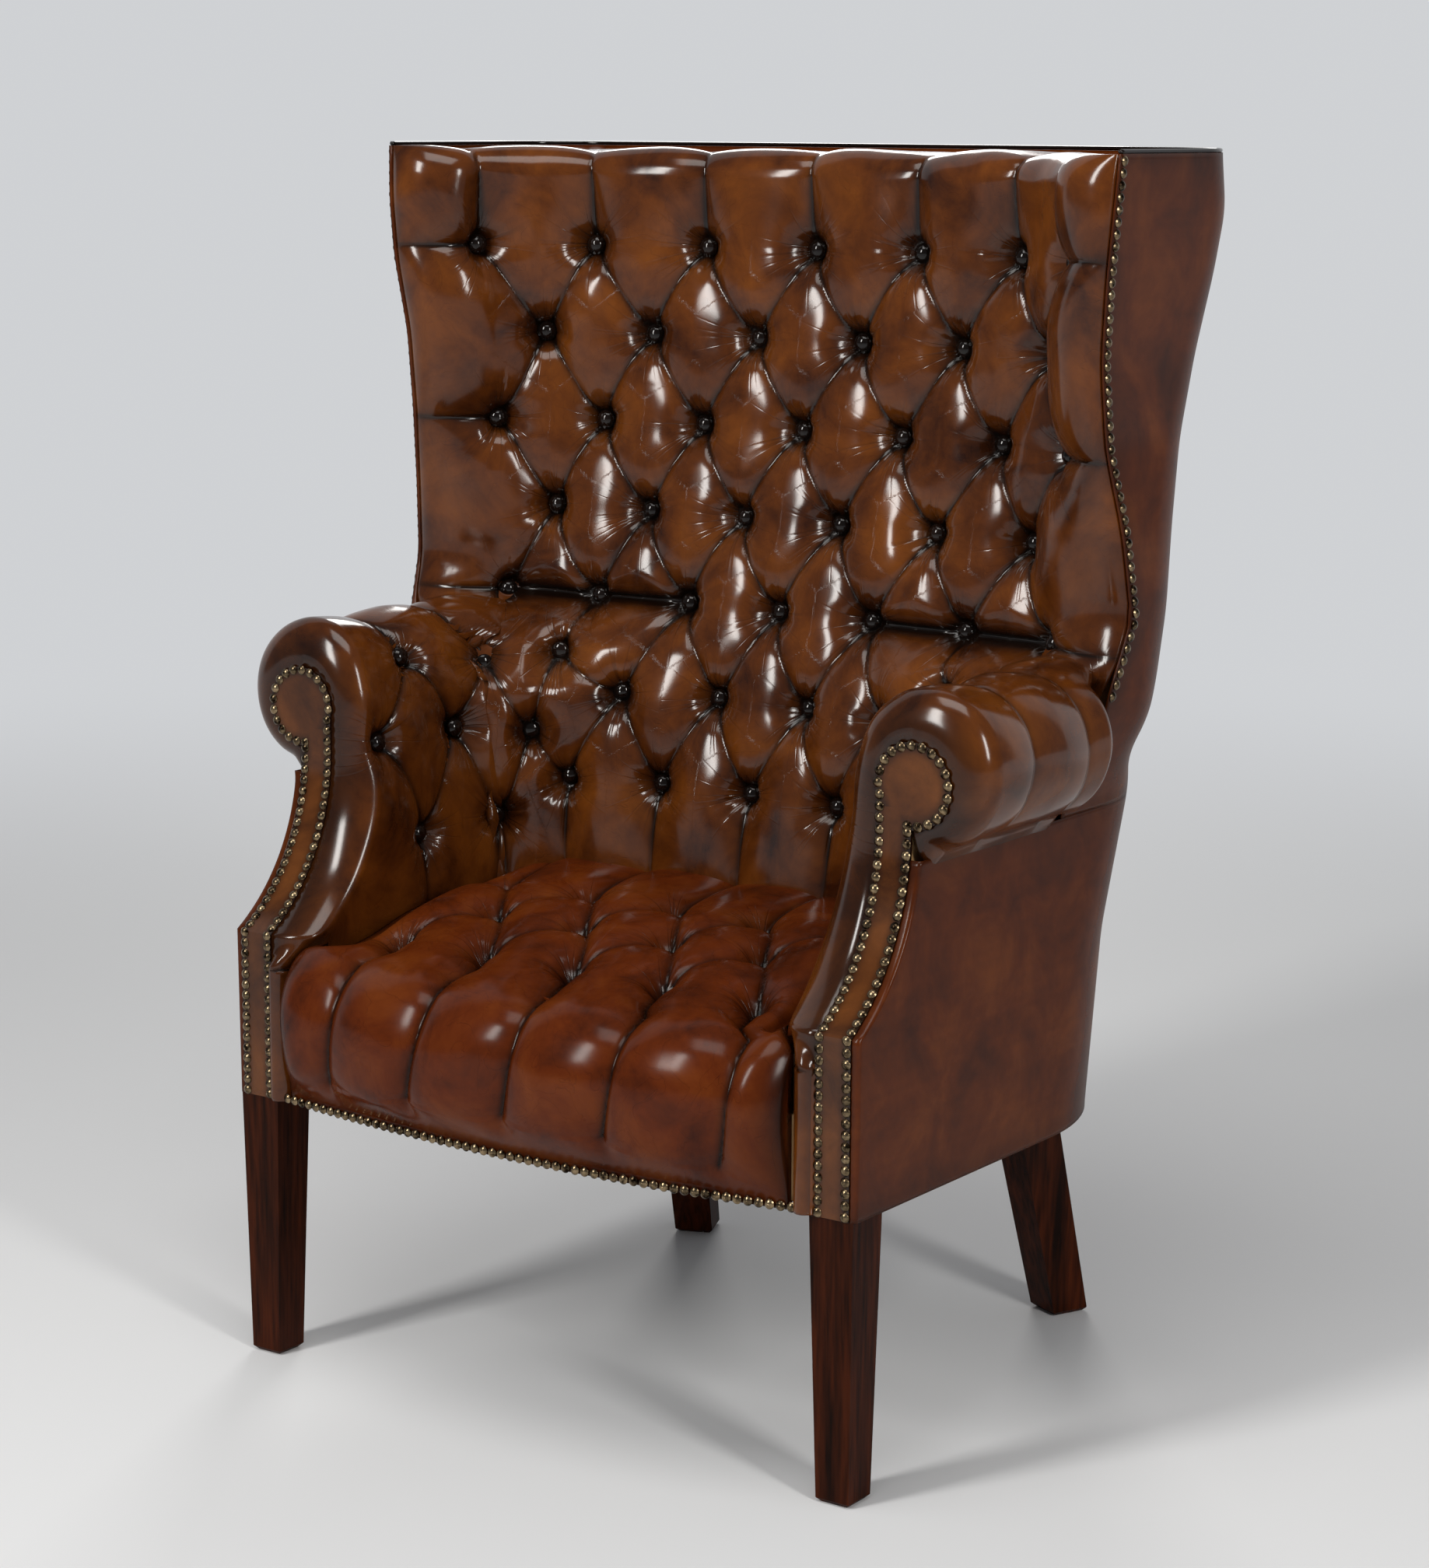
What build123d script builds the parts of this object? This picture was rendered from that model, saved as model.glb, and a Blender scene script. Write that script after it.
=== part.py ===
from build123d import *

import math
import os

# A porter's armchair: barrel back with wings, rolled arms, tufted leather on a sprung beech frame.
# Millimetres. +Z is up, the front faces -Y, and +X is the viewer's right.
# The origin lies on the floor under the middle of the chair's outer box.

# Overall sizes
height = 1150.0
wing_half_width = 412.0
back_reach = 308.0
seat_front_reach = 331.0
facing_reach = 267.0
upholstery_bottom = 258.0

# Stock sizes
leather_thick = 2.5
fit_gap = 0.5
soft_gap = 0.3
overrun = 5.0
rail_thick = 30.0
rail_height = 76.0
rail_bottom = 266.0
cloth_thick = 1.0
hessian_thick = 1.5
webbing_thick = 1.2
webbing_width = 50.0
welt_size = 4.0

# Legs
front_leg_top = 45.0
front_leg_foot = 34.0
front_leg_corner_x = 349.0
front_leg_corner_y = -266.0
foot_corner_x = 345.0
foot_corner_y = -262.0
stump_inset = 7.0
foot_chamfer = 4.0
rear_leg_top = 48.0
rear_leg_foot = 40.0
rear_foot_x = 224.0
rear_foot_y = 305.46
rear_leg_x = 206.0
rear_leg_y = 243.0
rear_leg_turn = -24.0

# Tufting
tuft_row = 86.0
first_tuft_height = 1050.0
top_pitch = 124.0
waist_pitch = 107.0
low_pitch = 100.0
tuft_depth = 26.0
pleat_depth = 9.0
pocket_half = 7.0
pocket_rise = 1.5
cover_back = 4.0
cover_gap = 1.2
swell_share = 0.6
side_swell_share = 0.16
button_radius = 9.5
button_height = 8.0
button_rim = 2.0
button_room = 0.6

# Nails
nail_radius = 4.6
nail_height = 2.8
nail_rim = 0.4
nail_pitch = 10.3
nail_gap = 0.15

body_top = height - welt_size
rail_top = rail_bottom + rail_height
skin_inset = leather_thick + fit_gap

# The outside of the body, as shares: the height of the chair, the wing's half width, and for the
# other three the back's reach. Each row is height, half width, side end, corner radius, back.
body_share = (
    (0.2243, 0.854, 0.192, 0.747, 0.981),
    (0.3739, 0.859, 0.273, 0.698, 0.990),
    (0.4852, 0.862, 0.455, 0.513, 1.0),
    (0.5217, 0.917, 0.328, 0.487, 1.0),
    (0.5565, 0.961, 0.357, 0.422, 1.0),
    (0.5843, 0.983, 0.347, 0.390, 1.0),
    (0.6435, 1.002, 0.360, 0.357, 1.0),
    (0.7087, 0.988, 0.419, 0.341, 1.0),
    (0.7739, 0.964, 0.516, 0.325, 1.0),
    (0.8391, 0.961, 0.607, 0.308, 1.0),
    (0.9043, 0.981, 0.666, 0.292, 1.0),
    (0.9522, 0.993, 0.700, 0.270, 1.006),
    (1.0, 1.0, 0.649, 0.286, 1.0),
)

# The wing's front edge: shares of the height and of the back's reach.
wing_front_share = (
    (0.5217, 0.182),
    (0.5565, 0.182),
    (0.5843, 0.169),
    (0.6435, 0.250),
    (0.7087, 0.221),
    (0.7739, 0.169),
    (0.8391, 0.140),
    (0.9043, 0.110),
    (0.9522, 0.110),
    (1.0, 0.123),
)

# The inside back's button plane: shares of the height and of the back's reach.
inner_back_share = (
    (0.3565, 0.240),
    (0.4643, 0.266),
    (0.5391, 0.338),
    (0.6139, 0.416),
    (0.6887, 0.484),
    (0.7635, 0.539),
    (0.8383, 0.578),
    (0.9130, 0.607),
    (1.0, 0.633),
)

# How far the inside has opened from the arms' width to the wings', by share of the height.
opening_share = (
    (0.3, 0.0),
    (0.5391, 0.03),
    (0.5765, 0.30),
    (0.6139, 1.0),
    (1.0, 1.0),
)

# Half width, side end and corner radius of the inside, above and below the arms.
wing_inner_half = 350.0
wing_inner_side = 40.0
wing_inner_corner = 118.0
wing_corner_share = 0.9
arm_inner_half = 285.0
arm_inner_side = -50.0
arm_inner_corner = 114.0


def between(rows, place, unit):
    """Value of a two-column table of shares at a place, in straight steps."""
    for low, high in zip(rows, rows[1:]):
        if place <= high[0] * unit or high is rows[-1]:
            part = (place / unit - low[0]) / (high[0] - low[0])
            return low[1] + (high[1] - low[1]) * part


def body_column(column):
    return tuple((row[0], row[column]) for row in body_share)


def plan(half_width, side_end, corner_radius, back):
    """A plan outline: straight sides, round corners and one long arc across the back."""
    across = half_width - corner_radius
    deep = back - side_end
    room = deep - corner_radius
    back_radius = (across**2 + deep**2 - corner_radius**2) / (room + room)
    turn = math.asin(across / (back_radius - corner_radius))
    return half_width, side_end, corner_radius, back, across, back_radius, turn


def body_plan(level):
    half_width = between(body_column(1), level, height) * wing_half_width
    side_end = between(body_column(2), level, height) * back_reach
    corner_radius = between(body_column(3), level, height) * back_reach
    back = between(body_column(4), level, height) * back_reach
    return plan(half_width, side_end, corner_radius, back)


def wing_front(level):
    return between(wing_front_share, level, height) * back_reach


def inner_back(level):
    return between(inner_back_share, level, height) * back_reach


def wing_corner(level):
    """Corner radius of the wings' inside: tighter low down, where the back is thick."""
    return min(wing_inner_corner, (inner_back(level) - wing_inner_side) * wing_corner_share)


def wing_plan(level):
    return plan(wing_inner_half, wing_inner_side, wing_corner(level), inner_back(level))


def arm_plan(level):
    """The inside plan below the wings: it opens from the arms' width to the wings' width."""
    part = between(opening_share, level, height)
    return plan(
        arm_inner_half + (wing_inner_half - arm_inner_half) * part,
        arm_inner_side + (wing_inner_side - arm_inner_side) * part,
        arm_inner_corner + (wing_corner(level) - arm_inner_corner) * part,
        inner_back(level),
    )


def corner_start(outline):
    """Run from the middle of the back to where the corner starts."""
    return outline[5] * outline[6]


def corner_end(outline):
    """Run from the middle of the back to where the straight side starts."""
    return corner_start(outline) + outline[2] * (math.pi / 2 - outline[6])


def normal_angle(outline, run):
    """Angle from +Y of the outward normal at a run along the outline."""
    if run <= corner_start(outline):
        return run / outline[5]
    if run <= corner_end(outline):
        return outline[6] + (run - corner_start(outline)) / outline[2]
    return math.pi / 2


def place_at(outline, run, offset):
    """Point at a run from the middle of the back, moved outwards by an offset."""
    half_width, side_end, corner_radius, back, across, back_radius, turn = outline
    way = abs(run)
    angle = normal_angle(outline, way)
    if way <= corner_start(outline):
        reach = back_radius + offset
        x = reach * math.sin(angle)
        y = back - back_radius + reach * math.cos(angle)
    elif way <= corner_end(outline):
        reach = corner_radius + offset
        x = across + reach * math.sin(angle)
        y = side_end + reach * math.cos(angle)
    else:
        x = half_width + offset
        y = side_end - (way - corner_end(outline))
    return math.copysign(x, run), y


def run_at(outline, y):
    """Run at which the outline's side reaches a given y."""
    half_width, side_end, corner_radius, back, across, back_radius, turn = outline
    if y <= side_end:
        return corner_end(outline) + side_end - y
    angle = math.acos((y - side_end) / corner_radius)
    return corner_start(outline) + corner_radius * (angle - turn)


def point_at_y(outline, y, offset):
    """Point where an offset of the outline's side reaches a given y."""
    half_width, side_end, corner_radius, back, across, back_radius, turn = outline
    if y <= side_end:
        return half_width + offset, y
    reach = corner_radius + offset
    return across + math.sqrt(reach**2 - (y - side_end) ** 2), y


def y_at(outline, x, offset):
    """The y where an offset of the outline's back or corner reaches a given x."""
    half_width, side_end, corner_radius, back, across, back_radius, turn = outline
    if x <= (back_radius + offset) * math.sin(turn):
        return back - back_radius + math.sqrt((back_radius + offset) ** 2 - x**2)
    return side_end + math.sqrt((corner_radius + offset) ** 2 - (x - across) ** 2)


def arc_between(outline, start, end, offset):
    """An arc along the outline from one run to another."""
    middle = (start + end) / 2
    ThreePointArc(
        place_at(outline, start, offset),
        place_at(outline, middle, offset),
        place_at(outline, end, offset),
    )


def band_face(outline, start, end, outside, inside):
    """Face between two offsets of the outline, from one run to another."""
    with BuildLine() as edge:
        arc_between(outline, start, end, outside)
        Line(place_at(outline, end, outside), place_at(outline, end, inside))
        arc_between(outline, end, start, inside)
        Line(place_at(outline, start, inside), place_at(outline, start, outside))
    make_face(edge.edges())


def side_face(outline, front, outside, inside, stop):
    """Face of the right side: the straight run and the corner, round to a stop run."""
    end = corner_end(outline)
    half_width, side_end = outline[0], outline[1]
    with BuildLine() as edge:
        Line((half_width + outside, front), (half_width + outside, side_end))
        arc_between(outline, end, stop, outside)
        Line(place_at(outline, stop, outside), place_at(outline, stop, inside))
        arc_between(outline, stop, end, inside)
        Line((half_width + inside, side_end), (half_width + inside, front))
        Line((half_width + inside, front), (half_width + outside, front))
    make_face(edge.edges())


def chain_face(points):
    """Face inside a closed chain: a pair of points is a line, three points are an arc."""
    with BuildLine() as edge:
        for stretch in points:
            if len(stretch) == 3:
                ThreePointArc(*stretch)
            else:
                Line(*stretch)
    make_face(edge.edges())


def finish(piece, name):
    """Label a piece and write it."""
    piece.part.label = name
    export_step(piece.part, "parts/" + name + ".step")


def finish_pair(piece, name):
    """Write the right-hand piece and its mirror image."""
    finish(piece, name + "_right")
    with BuildPart() as other:
        mirror(piece.part, about=Plane.YZ)
    finish(other, name + "_left")


def levels_between(low, high):
    """The heights of the body's rows between two heights, with both ends."""
    inner = [row[0] * height for row in body_share if low < row[0] * height < high]
    return [low] + inner + [high]


os.makedirs("parts", exist_ok=True)

# Front legs: square tapered mahogany, each with a stump that rises into the frame.
with BuildPart() as front_leg:
    with BuildSketch(Plane.XY):
        with Locations((foot_corner_x - front_leg_foot / 2, foot_corner_y + front_leg_foot / 2)):
            Rectangle(front_leg_foot, front_leg_foot)
    with BuildSketch(Plane.XY.offset(upholstery_bottom)):
        with Locations(
            (front_leg_corner_x - front_leg_top / 2, front_leg_corner_y + front_leg_top / 2)
        ):
            Rectangle(front_leg_top, front_leg_top)
    loft(ruled=True)
    chamfer(front_leg.faces().sort_by(Axis.Z)[0].edges(), foot_chamfer)
    with BuildSketch(Plane.XY.offset(upholstery_bottom)):
        with Locations(
            (front_leg_corner_x - front_leg_top / 2, front_leg_corner_y + front_leg_top / 2)
        ):
            Rectangle(front_leg_top - 2 * stump_inset, front_leg_top - 2 * stump_inset)
    extrude(amount=rail_top - upholstery_bottom)
finish_pair(front_leg, "front_leg")
stump_centre_x = front_leg_corner_x - front_leg_top / 2
stump_centre_y = front_leg_corner_y + front_leg_top / 2
stump_half = front_leg_top / 2 - stump_inset

# The seat rails' place inside the leather, and the back posts' run along the outline.
bottom_plan = body_plan(upholstery_bottom)
rail_inset = skin_inset + fit_gap + fit_gap
rail_inner = rail_inset + rail_thick
post_half = 22.0
post_run = 221.0
post_top_run = 262.0
post_thick = 32.0
post_inset = 4.5
joint_gap = 0.2

# Rear legs: square, raked back and outwards, turned to follow the barrel of the back, each with a
# stump that the rails meet.
with BuildPart() as rear_leg:
    with BuildSketch(Plane.XY):
        with Locations((rear_foot_x, rear_foot_y)):
            Rectangle(rear_leg_foot, rear_leg_foot, rotation=rear_leg_turn)
    with BuildSketch(Plane.XY.offset(upholstery_bottom)):
        with Locations((rear_leg_x, rear_leg_y)):
            Rectangle(rear_leg_top, rear_leg_top, rotation=rear_leg_turn)
    loft(ruled=True)
    chamfer(rear_leg.faces().sort_by(Axis.Z)[0].edges(), foot_chamfer)
    with BuildSketch(Plane.XY.offset(upholstery_bottom)):
        band_face(
            bottom_plan,
            post_run - post_half,
            post_run + post_half,
            -rail_inset,
            -rail_inset - post_thick,
        )
    extrude(amount=rail_top - upholstery_bottom)
finish_pair(rear_leg, "rear_leg")

# Seat rails: two sides that bend round to the rear stumps, a curved back and a bowed front.
with BuildPart() as side_rail:
    with BuildSketch(Plane.XY.offset(rail_bottom)):
        side_face(
            bottom_plan,
            stump_centre_y + stump_half + joint_gap,
            -rail_inset,
            -rail_inner,
            post_run + post_half + joint_gap,
        )
    extrude(amount=rail_height)
finish_pair(side_rail, "side_rail")

with BuildPart() as back_rail:
    with BuildSketch(Plane.XY.offset(rail_bottom)):
        rail_end = post_run - post_half - joint_gap
        band_face(bottom_plan, -rail_end, rail_end, -rail_inset, -rail_inner)
    extrude(amount=rail_height)
finish(back_rail, "back_rail")

front_rail_half = stump_centre_x - stump_half - joint_gap
front_rail_end_y = stump_centre_y - stump_half
front_bow = 28.0
with BuildPart() as front_rail:
    with BuildSketch(Plane.XY.offset(rail_bottom)):
        chain_face(
            (
                (
                    (-front_rail_half, front_rail_end_y),
                    (0, front_rail_end_y - front_bow),
                    (front_rail_half, front_rail_end_y),
                ),
                (
                    (front_rail_half, front_rail_end_y),
                    (front_rail_half, front_rail_end_y + rail_thick),
                ),
                (
                    (front_rail_half, front_rail_end_y + rail_thick),
                    (0, front_rail_end_y + rail_thick - front_bow),
                    (-front_rail_half, front_rail_end_y + rail_thick),
                ),
                (
                    (-front_rail_half, front_rail_end_y + rail_thick),
                    (-front_rail_half, front_rail_end_y),
                ),
            )
        )
    extrude(amount=rail_height)
finish(front_rail, "front_rail")

# Back uprights: curved posts scarfed onto the rear stumps, up to under the top rail.
top_rail_height = 44.0
top_rail_bottom = body_top - top_rail_height - overrun - overrun
with BuildPart() as back_upright:
    for level in levels_between(rail_top + joint_gap, top_rail_bottom - joint_gap):
        share = (level - rail_top) / (top_rail_bottom - rail_top)
        run = post_run + (post_top_run - post_run) * share
        with BuildSketch(Plane.XY.offset(level)):
            band_face(
                body_plan(level),
                run - post_half,
                run + post_half,
                -rail_inset - post_inset,
                -rail_inset - post_inset - post_thick,
            )
    loft(ruled=True)
finish_pair(back_upright, "back_upright")

# Top rail across the back, over both uprights.
top_plan = body_plan(body_top)
with BuildPart() as top_rail:
    with BuildSketch(Plane.XY.offset(top_rail_bottom)):
        rail_end = post_top_run + post_half
        band_face(top_plan, -rail_end, rail_end, -rail_inset - welt_size, -rail_inner - welt_size)
    extrude(amount=top_rail_height)
finish(top_rail, "top_rail")

# Tacking rails low in the back and along the sides, for the inside covers.
tack_rail_bottom = 366.0
tack_rail_height = 28.0
tack_rail_thick = 22.0
tack_plan = body_plan(tack_rail_bottom)
tack_run = post_run + (post_top_run - post_run) * (tack_rail_bottom - rail_top) / height
with BuildPart() as back_tacking_rail:
    with BuildSketch(Plane.XY.offset(tack_rail_bottom)):
        rail_end = tack_run - post_half - joint_gap - fit_gap
        band_face(tack_plan, -rail_end, rail_end, -rail_inset, -rail_inset - tack_rail_thick)
    extrude(amount=tack_rail_height)
finish(back_tacking_rail, "back_tacking_rail")

# The arm's front profile, in side view: upright from the floor of the upholstery to the kink, then
# swept back in an arc to the neck under the scroll.
facing_thick = 3.0
kink_height = 417.0
neck_height = 579.0
neck_reach = 178.0
profile_radius = 192.0


def profile_places(offset):
    """Kink, middle of the sweep and neck, moved back by an offset."""
    sweep = math.asin((neck_height - kink_height) / profile_radius) / 2
    middle_y = -neck_reach - profile_radius + profile_radius * math.cos(sweep)
    middle_z = neck_height - profile_radius * math.sin(sweep)
    return (
        (-facing_reach + offset, kink_height),
        (middle_y + offset, middle_z),
        (-neck_reach + offset, neck_height),
    )


def profile_face(low, high, front, back):
    """Side-view face between two offsets of the front profile."""
    kink, middle, neck = profile_places(front)
    kink_back, middle_back, neck_back = profile_places(back)
    chain_face(
        [
            ((kink[0], low), kink),
            (kink, middle, neck),
            (neck, (neck[0], high)),
            ((neck[0], high), (neck_back[0], high)),
            ((neck_back[0], high), neck_back),
            (neck_back, middle_back, kink_back),
            (kink_back, (kink_back[0], low)),
            ((kink_back[0], low), (kink[0], low)),
        ]
    )


def front_cut(offset):
    """Side-view face of everything in front of an offset of the front profile."""
    kink, middle, neck = profile_places(offset)
    far = -facing_reach - overrun
    chain_face(
        [
            ((kink[0], 0), kink),
            (kink, middle, neck),
            (neck, (neck[0], height)),
            ((neck[0], height), (far, height)),
            ((far, height), (far, 0)),
            ((far, 0), (kink[0], 0)),
        ]
    )


# Outside skins. The arm's outside runs from the facing round to the seam at the rear upright, the
# wing's outside stands on it, and the back's outside closes the barrel between the two seams.
roll_under = 556.0
seam_gap = 0.3
with BuildPart() as outside_arm:
    for level in levels_between(upholstery_bottom, roll_under):
        outline = body_plan(level)
        with BuildSketch(Plane.XY.offset(level)):
            side_face(
                outline,
                -facing_reach + facing_thick + seam_gap,
                0,
                -leather_thick,
                corner_start(outline) + seam_gap,
            )
    loft(ruled=True)
    with BuildSketch(Plane.YZ):
        front_cut(facing_thick + seam_gap)
    extrude(amount=wing_half_width, mode=Mode.SUBTRACT)
finish_pair(outside_arm, "outside_arm")

with BuildPart() as outside_wing:
    for level in levels_between(roll_under + seam_gap, body_top):
        outline = body_plan(level)
        with BuildSketch(Plane.XY.offset(level)):
            side_face(
                outline,
                wing_front(level),
                0,
                -leather_thick,
                corner_start(outline) + seam_gap,
            )
    loft(ruled=True)
finish_pair(outside_wing, "outside_wing")

with BuildPart() as outside_back:
    for level in levels_between(upholstery_bottom, body_top):
        outline = body_plan(level)
        seam = corner_start(outline) - seam_gap
        with BuildSketch(Plane.XY.offset(level)):
            band_face(outline, -seam, seam, 0, -leather_thick)
    loft(ruled=True)
finish(outside_back, "outside_back")

# Tufted inside back and wings: leather with its wadding. Every level of the loft is a row of
# swelling arcs between the pleats; a pleat pair opens from each button towards the two below.
first_row = first_tuft_height
wing_roll = 12.0
wing_lap = 12.0
wing_roll_in = 15.0
top_roll_back = 14.0
upper_bottom = first_row - 4 * tuft_row
lower_bottom = 410.0
upper_columns = 3
lower_columns = 2


def pitch_at(level):
    """Spacing of the pleats along the back at a height."""
    if level >= upper_bottom:
        part = min(1, (level - upper_bottom) / (first_row - upper_bottom))
        return waist_pitch + (top_pitch - waist_pitch) * part
    part = max(0, (level - lower_bottom) / (upper_bottom - lower_bottom))
    return low_pitch + (waist_pitch - low_pitch) * part


def spread_at(level):
    """0 where the pleat pairs of the full rows close, 1 where those of the staggered rows do."""
    rows_down = (first_row - level) / tuft_row
    if rows_down <= 0:
        return 0.0
    rows_down = min(rows_down, 6)
    part = rows_down % 2
    return part if part <= 1 else 2 - part


def pleat_depth_at(level):
    """Depth of the pleats under the crowns: full at a button row, less between and at the top."""
    if level > first_row:
        return pleat_depth
    if level < first_row - 6 * tuft_row:
        return pleat_depth
    part = spread_at(level)
    return tuft_depth - (tuft_depth - pleat_depth) * 4 * part * (1 - part)


def quilt_line(outline, level, columns, roll_back, limit):
    """Pleat points and crown points along a level, from the right end to the left end."""
    pitch = pitch_at(level)
    spread = spread_at(level)
    depth = pleat_depth_at(level)
    reach = pocket_half + spread * (pitch / 2 - 2 * pocket_half)
    widest = pitch - 4 * pocket_half
    runs = []
    for column in range(columns, -columns - 1, -1):
        runs.append(column * pitch + (pocket_half if column == columns else reach))
        runs.append(column * pitch - (pocket_half if column == -columns else reach))
    runs[0] = min(runs[0], limit)
    runs[-1] = -runs[0]
    depths = [depth] * len(runs)
    depths[0] = depths[-1] = pocket_rise + (depth - pocket_rise) * (1 - spread)
    crest = -tuft_depth + roll_back
    places = [place_at(outline, run, crest + sink) for run, sink in zip(runs, depths)]
    crowns = []
    for start, end, sink in zip(runs, runs[1:], depths):
        share = max(0, (start - end - 2 * pocket_half) / widest) ** swell_share
        low = sink - pocket_rise
        crowns.append(place_at(outline, (start + end) / 2, crest + low * (1 - min(1, share))))
    return places, crowns


def quilt_arcs(places, crowns):
    """Arcs from pleat to pleat over the crowns."""
    return [
        (places[number], crowns[number], places[number + 1]) for number in range(len(crowns))
    ]


def mirrored(point):
    return (-point[0], point[1])


def swell_between(start, end):
    """Crown of an arc that swells to the left of the way from one point to another."""
    across = (end[0] - start[0]) * side_swell_share
    deep = (end[1] - start[1]) * side_swell_share
    return (start[0] + end[0]) / 2 - deep, (start[1] + end[1]) / 2 + across


def upper_back_face(level, roll_back):
    """Plan of the upper inside back and both wings at a height."""
    outline = wing_plan(level)
    front = wing_front(level)
    outer = between(body_column(1), level, height) * wing_half_width - skin_inset - cover_gap
    lap = front + wing_lap
    run_back = run_at(outline, lap)
    limit = run_back - pocket_half - pocket_half
    places, crowns = quilt_line(outline, level, upper_columns, roll_back, limit)
    inner_x, inner_y = point_at_y(outline, lap, cover_back)
    seam_low = (outer, lap)
    seam_high = (outer, front + seam_gap)
    turn_in = (inner_x - wing_roll_in, lap)
    nose = ((outer + turn_in[0]) / 2, front - wing_roll)
    side_crown = swell_between(turn_in, places[0])
    join = corner_start(outline)
    right = [
        ((inner_x, inner_y), seam_low),
        (seam_low, seam_high),
        (seam_high, nose, turn_in),
        (turn_in, side_crown, places[0]),
    ]
    left = [
        (places[-1], mirrored(side_crown), mirrored(turn_in)),
        (mirrored(turn_in), mirrored(nose), mirrored(seam_high)),
        (mirrored(seam_high), mirrored(seam_low)),
        (mirrored(seam_low), mirrored((inner_x, inner_y))),
    ]
    bend = place_at(outline, (join + run_back) / 2, cover_back)
    corner = place_at(outline, join, cover_back)
    behind = [
        (mirrored((inner_x, inner_y)), mirrored(bend), mirrored(corner)),
        arc_points(outline, -join, join, cover_back),
        (corner, bend, (inner_x, inner_y)),
    ]
    chain_face(right + quilt_arcs(places, crowns) + left + behind)


def arc_points(outline, start, end, offset):
    middle = (start + end) / 2
    return (
        place_at(outline, start, offset),
        place_at(outline, middle, offset),
        place_at(outline, end, offset),
    )


arm_join_y = 16.0


def lower_back_face(level):
    """Plan of the inside back below the arms' tops, between the two arm covers."""
    outline = arm_plan(level)
    join_y = arm_join_y + soft_gap
    run_back = run_at(outline, join_y)
    places, crowns = quilt_line(outline, level, lower_columns, 0, run_back)
    end_back = point_at_y(outline, join_y, cover_back)
    end_front = point_at_y(outline, join_y, -tuft_depth + pleat_depth)
    side_crown = place_at(
        outline, (run_back + 2 * pitch_at(level)) / 2, -tuft_depth + pocket_rise
    )
    join = corner_start(outline)
    right = [(end_back, end_front), (end_front, side_crown, places[0])]
    left = [
        (places[-1], mirrored(side_crown), mirrored(end_front)),
        (mirrored(end_front), mirrored(end_back)),
    ]
    bend = place_at(outline, (join + run_back) / 2, cover_back)
    turn_in = place_at(outline, join, cover_back)
    behind = [
        (mirrored(end_back), mirrored(bend), mirrored(turn_in)),
        arc_points(outline, -join, join, cover_back),
        (turn_in, bend, end_back),
    ]
    chain_face(right + quilt_arcs(places, crowns) + left + behind)


def cap_face(level, inner_offset, outer_inset):
    """Band over the top of the frame, from the inside cover to the outside skins."""
    outline = body_plan(level)
    inner = wing_plan(level)
    lap = wing_front(level) + wing_lap - leather_thick
    outer = outline[0] - outer_inset
    start = corner_start(outline)
    end = corner_end(outline)
    run_back = run_at(inner, lap)
    join = corner_start(inner)
    inner_end = place_at(inner, run_back, inner_offset)
    low = (outer, lap)
    high = (outer, outline[1])
    chain_face(
        [
            (low, high),
            arc_points(outline, end, start, -outer_inset),
            arc_points(outline, start, -start, -outer_inset),
            arc_points(outline, -start, -end, -outer_inset),
            (mirrored(high), mirrored(low)),
            (mirrored(low), mirrored(inner_end)),
            arc_points(inner, -run_back, -join, inner_offset),
            arc_points(inner, -join, join, inner_offset),
            arc_points(inner, join, run_back, inner_offset),
            (inner_end, low),
        ]
    )


def button_spots():
    """Where the buttons of the inside back sit, with the way each one faces."""
    spots = []
    for row in range(7):
        level = first_row - row * tuft_row
        outline = wing_plan(level) if row < 5 else arm_plan(level)
        columns = upper_columns if row < 5 else lower_columns
        if row % 2:
            marks = [number + 0.5 for number in range(-columns, columns)]
        else:
            marks = list(range(-columns, columns + 1))
        for mark in marks:
            run = mark * pitch_at(level)
            x, y = place_at(outline, run, 0)
            angle = math.copysign(normal_angle(outline, abs(run)), run)
            facing = (-math.sin(angle), -math.cos(angle), 0)
            spots.append(Plane(origin=(x, y, level), z_dir=facing))
    return spots


def domed(radius, rim, tall):
    """A round head: a short rim under a shallow cap."""
    rise = tall - rim
    ball = (radius**2 + rise**2) / (rise + rise)
    Cylinder(radius, tall, align=(Align.CENTER, Align.CENTER, Align.MIN))
    with Locations((0, 0, tall - ball)):
        Sphere(ball, mode=Mode.INTERSECT)


# One covered button, its flat back on the button plane.
with BuildPart() as button:
    domed(button_radius, button_rim, button_height)

button_hole_radius = button_radius + button_room
half_row = tuft_row / 2
upper_levels = [upper_bottom + number * half_row for number in range(9)]
lower_levels = [first_row - number * half_row for number in range(12, 7, -1)]
crown_top = body_top - top_roll_back
cap_thick = 8.0
back_spots = button_spots()
with BuildPart() as inside_back_cover:
    for level in upper_levels + [(first_row + crown_top) / 2, crown_top]:
        with BuildSketch(Plane.XY.offset(level)):
            upper_back_face(level, 0)
    with BuildSketch(Plane.XY.offset(body_top)):
        upper_back_face(body_top, top_roll_back)
    loft(ruled=True)
    for level in [lower_bottom] + lower_levels:
        with BuildSketch(Plane.XY.offset(level)):
            lower_back_face(level)
    loft(ruled=True)
    with BuildSketch(Plane.XY.offset(body_top - cap_thick)):
        cap_face(body_top, 0, skin_inset)
    extrude(amount=cap_thick)
    with Locations(*[spot.offset(-soft_gap) for spot in back_spots]):
        Cylinder(
            button_hole_radius,
            tuft_depth,
            align=(Align.CENTER, Align.CENTER, Align.MIN),
            mode=Mode.SUBTRACT,
        )
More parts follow.
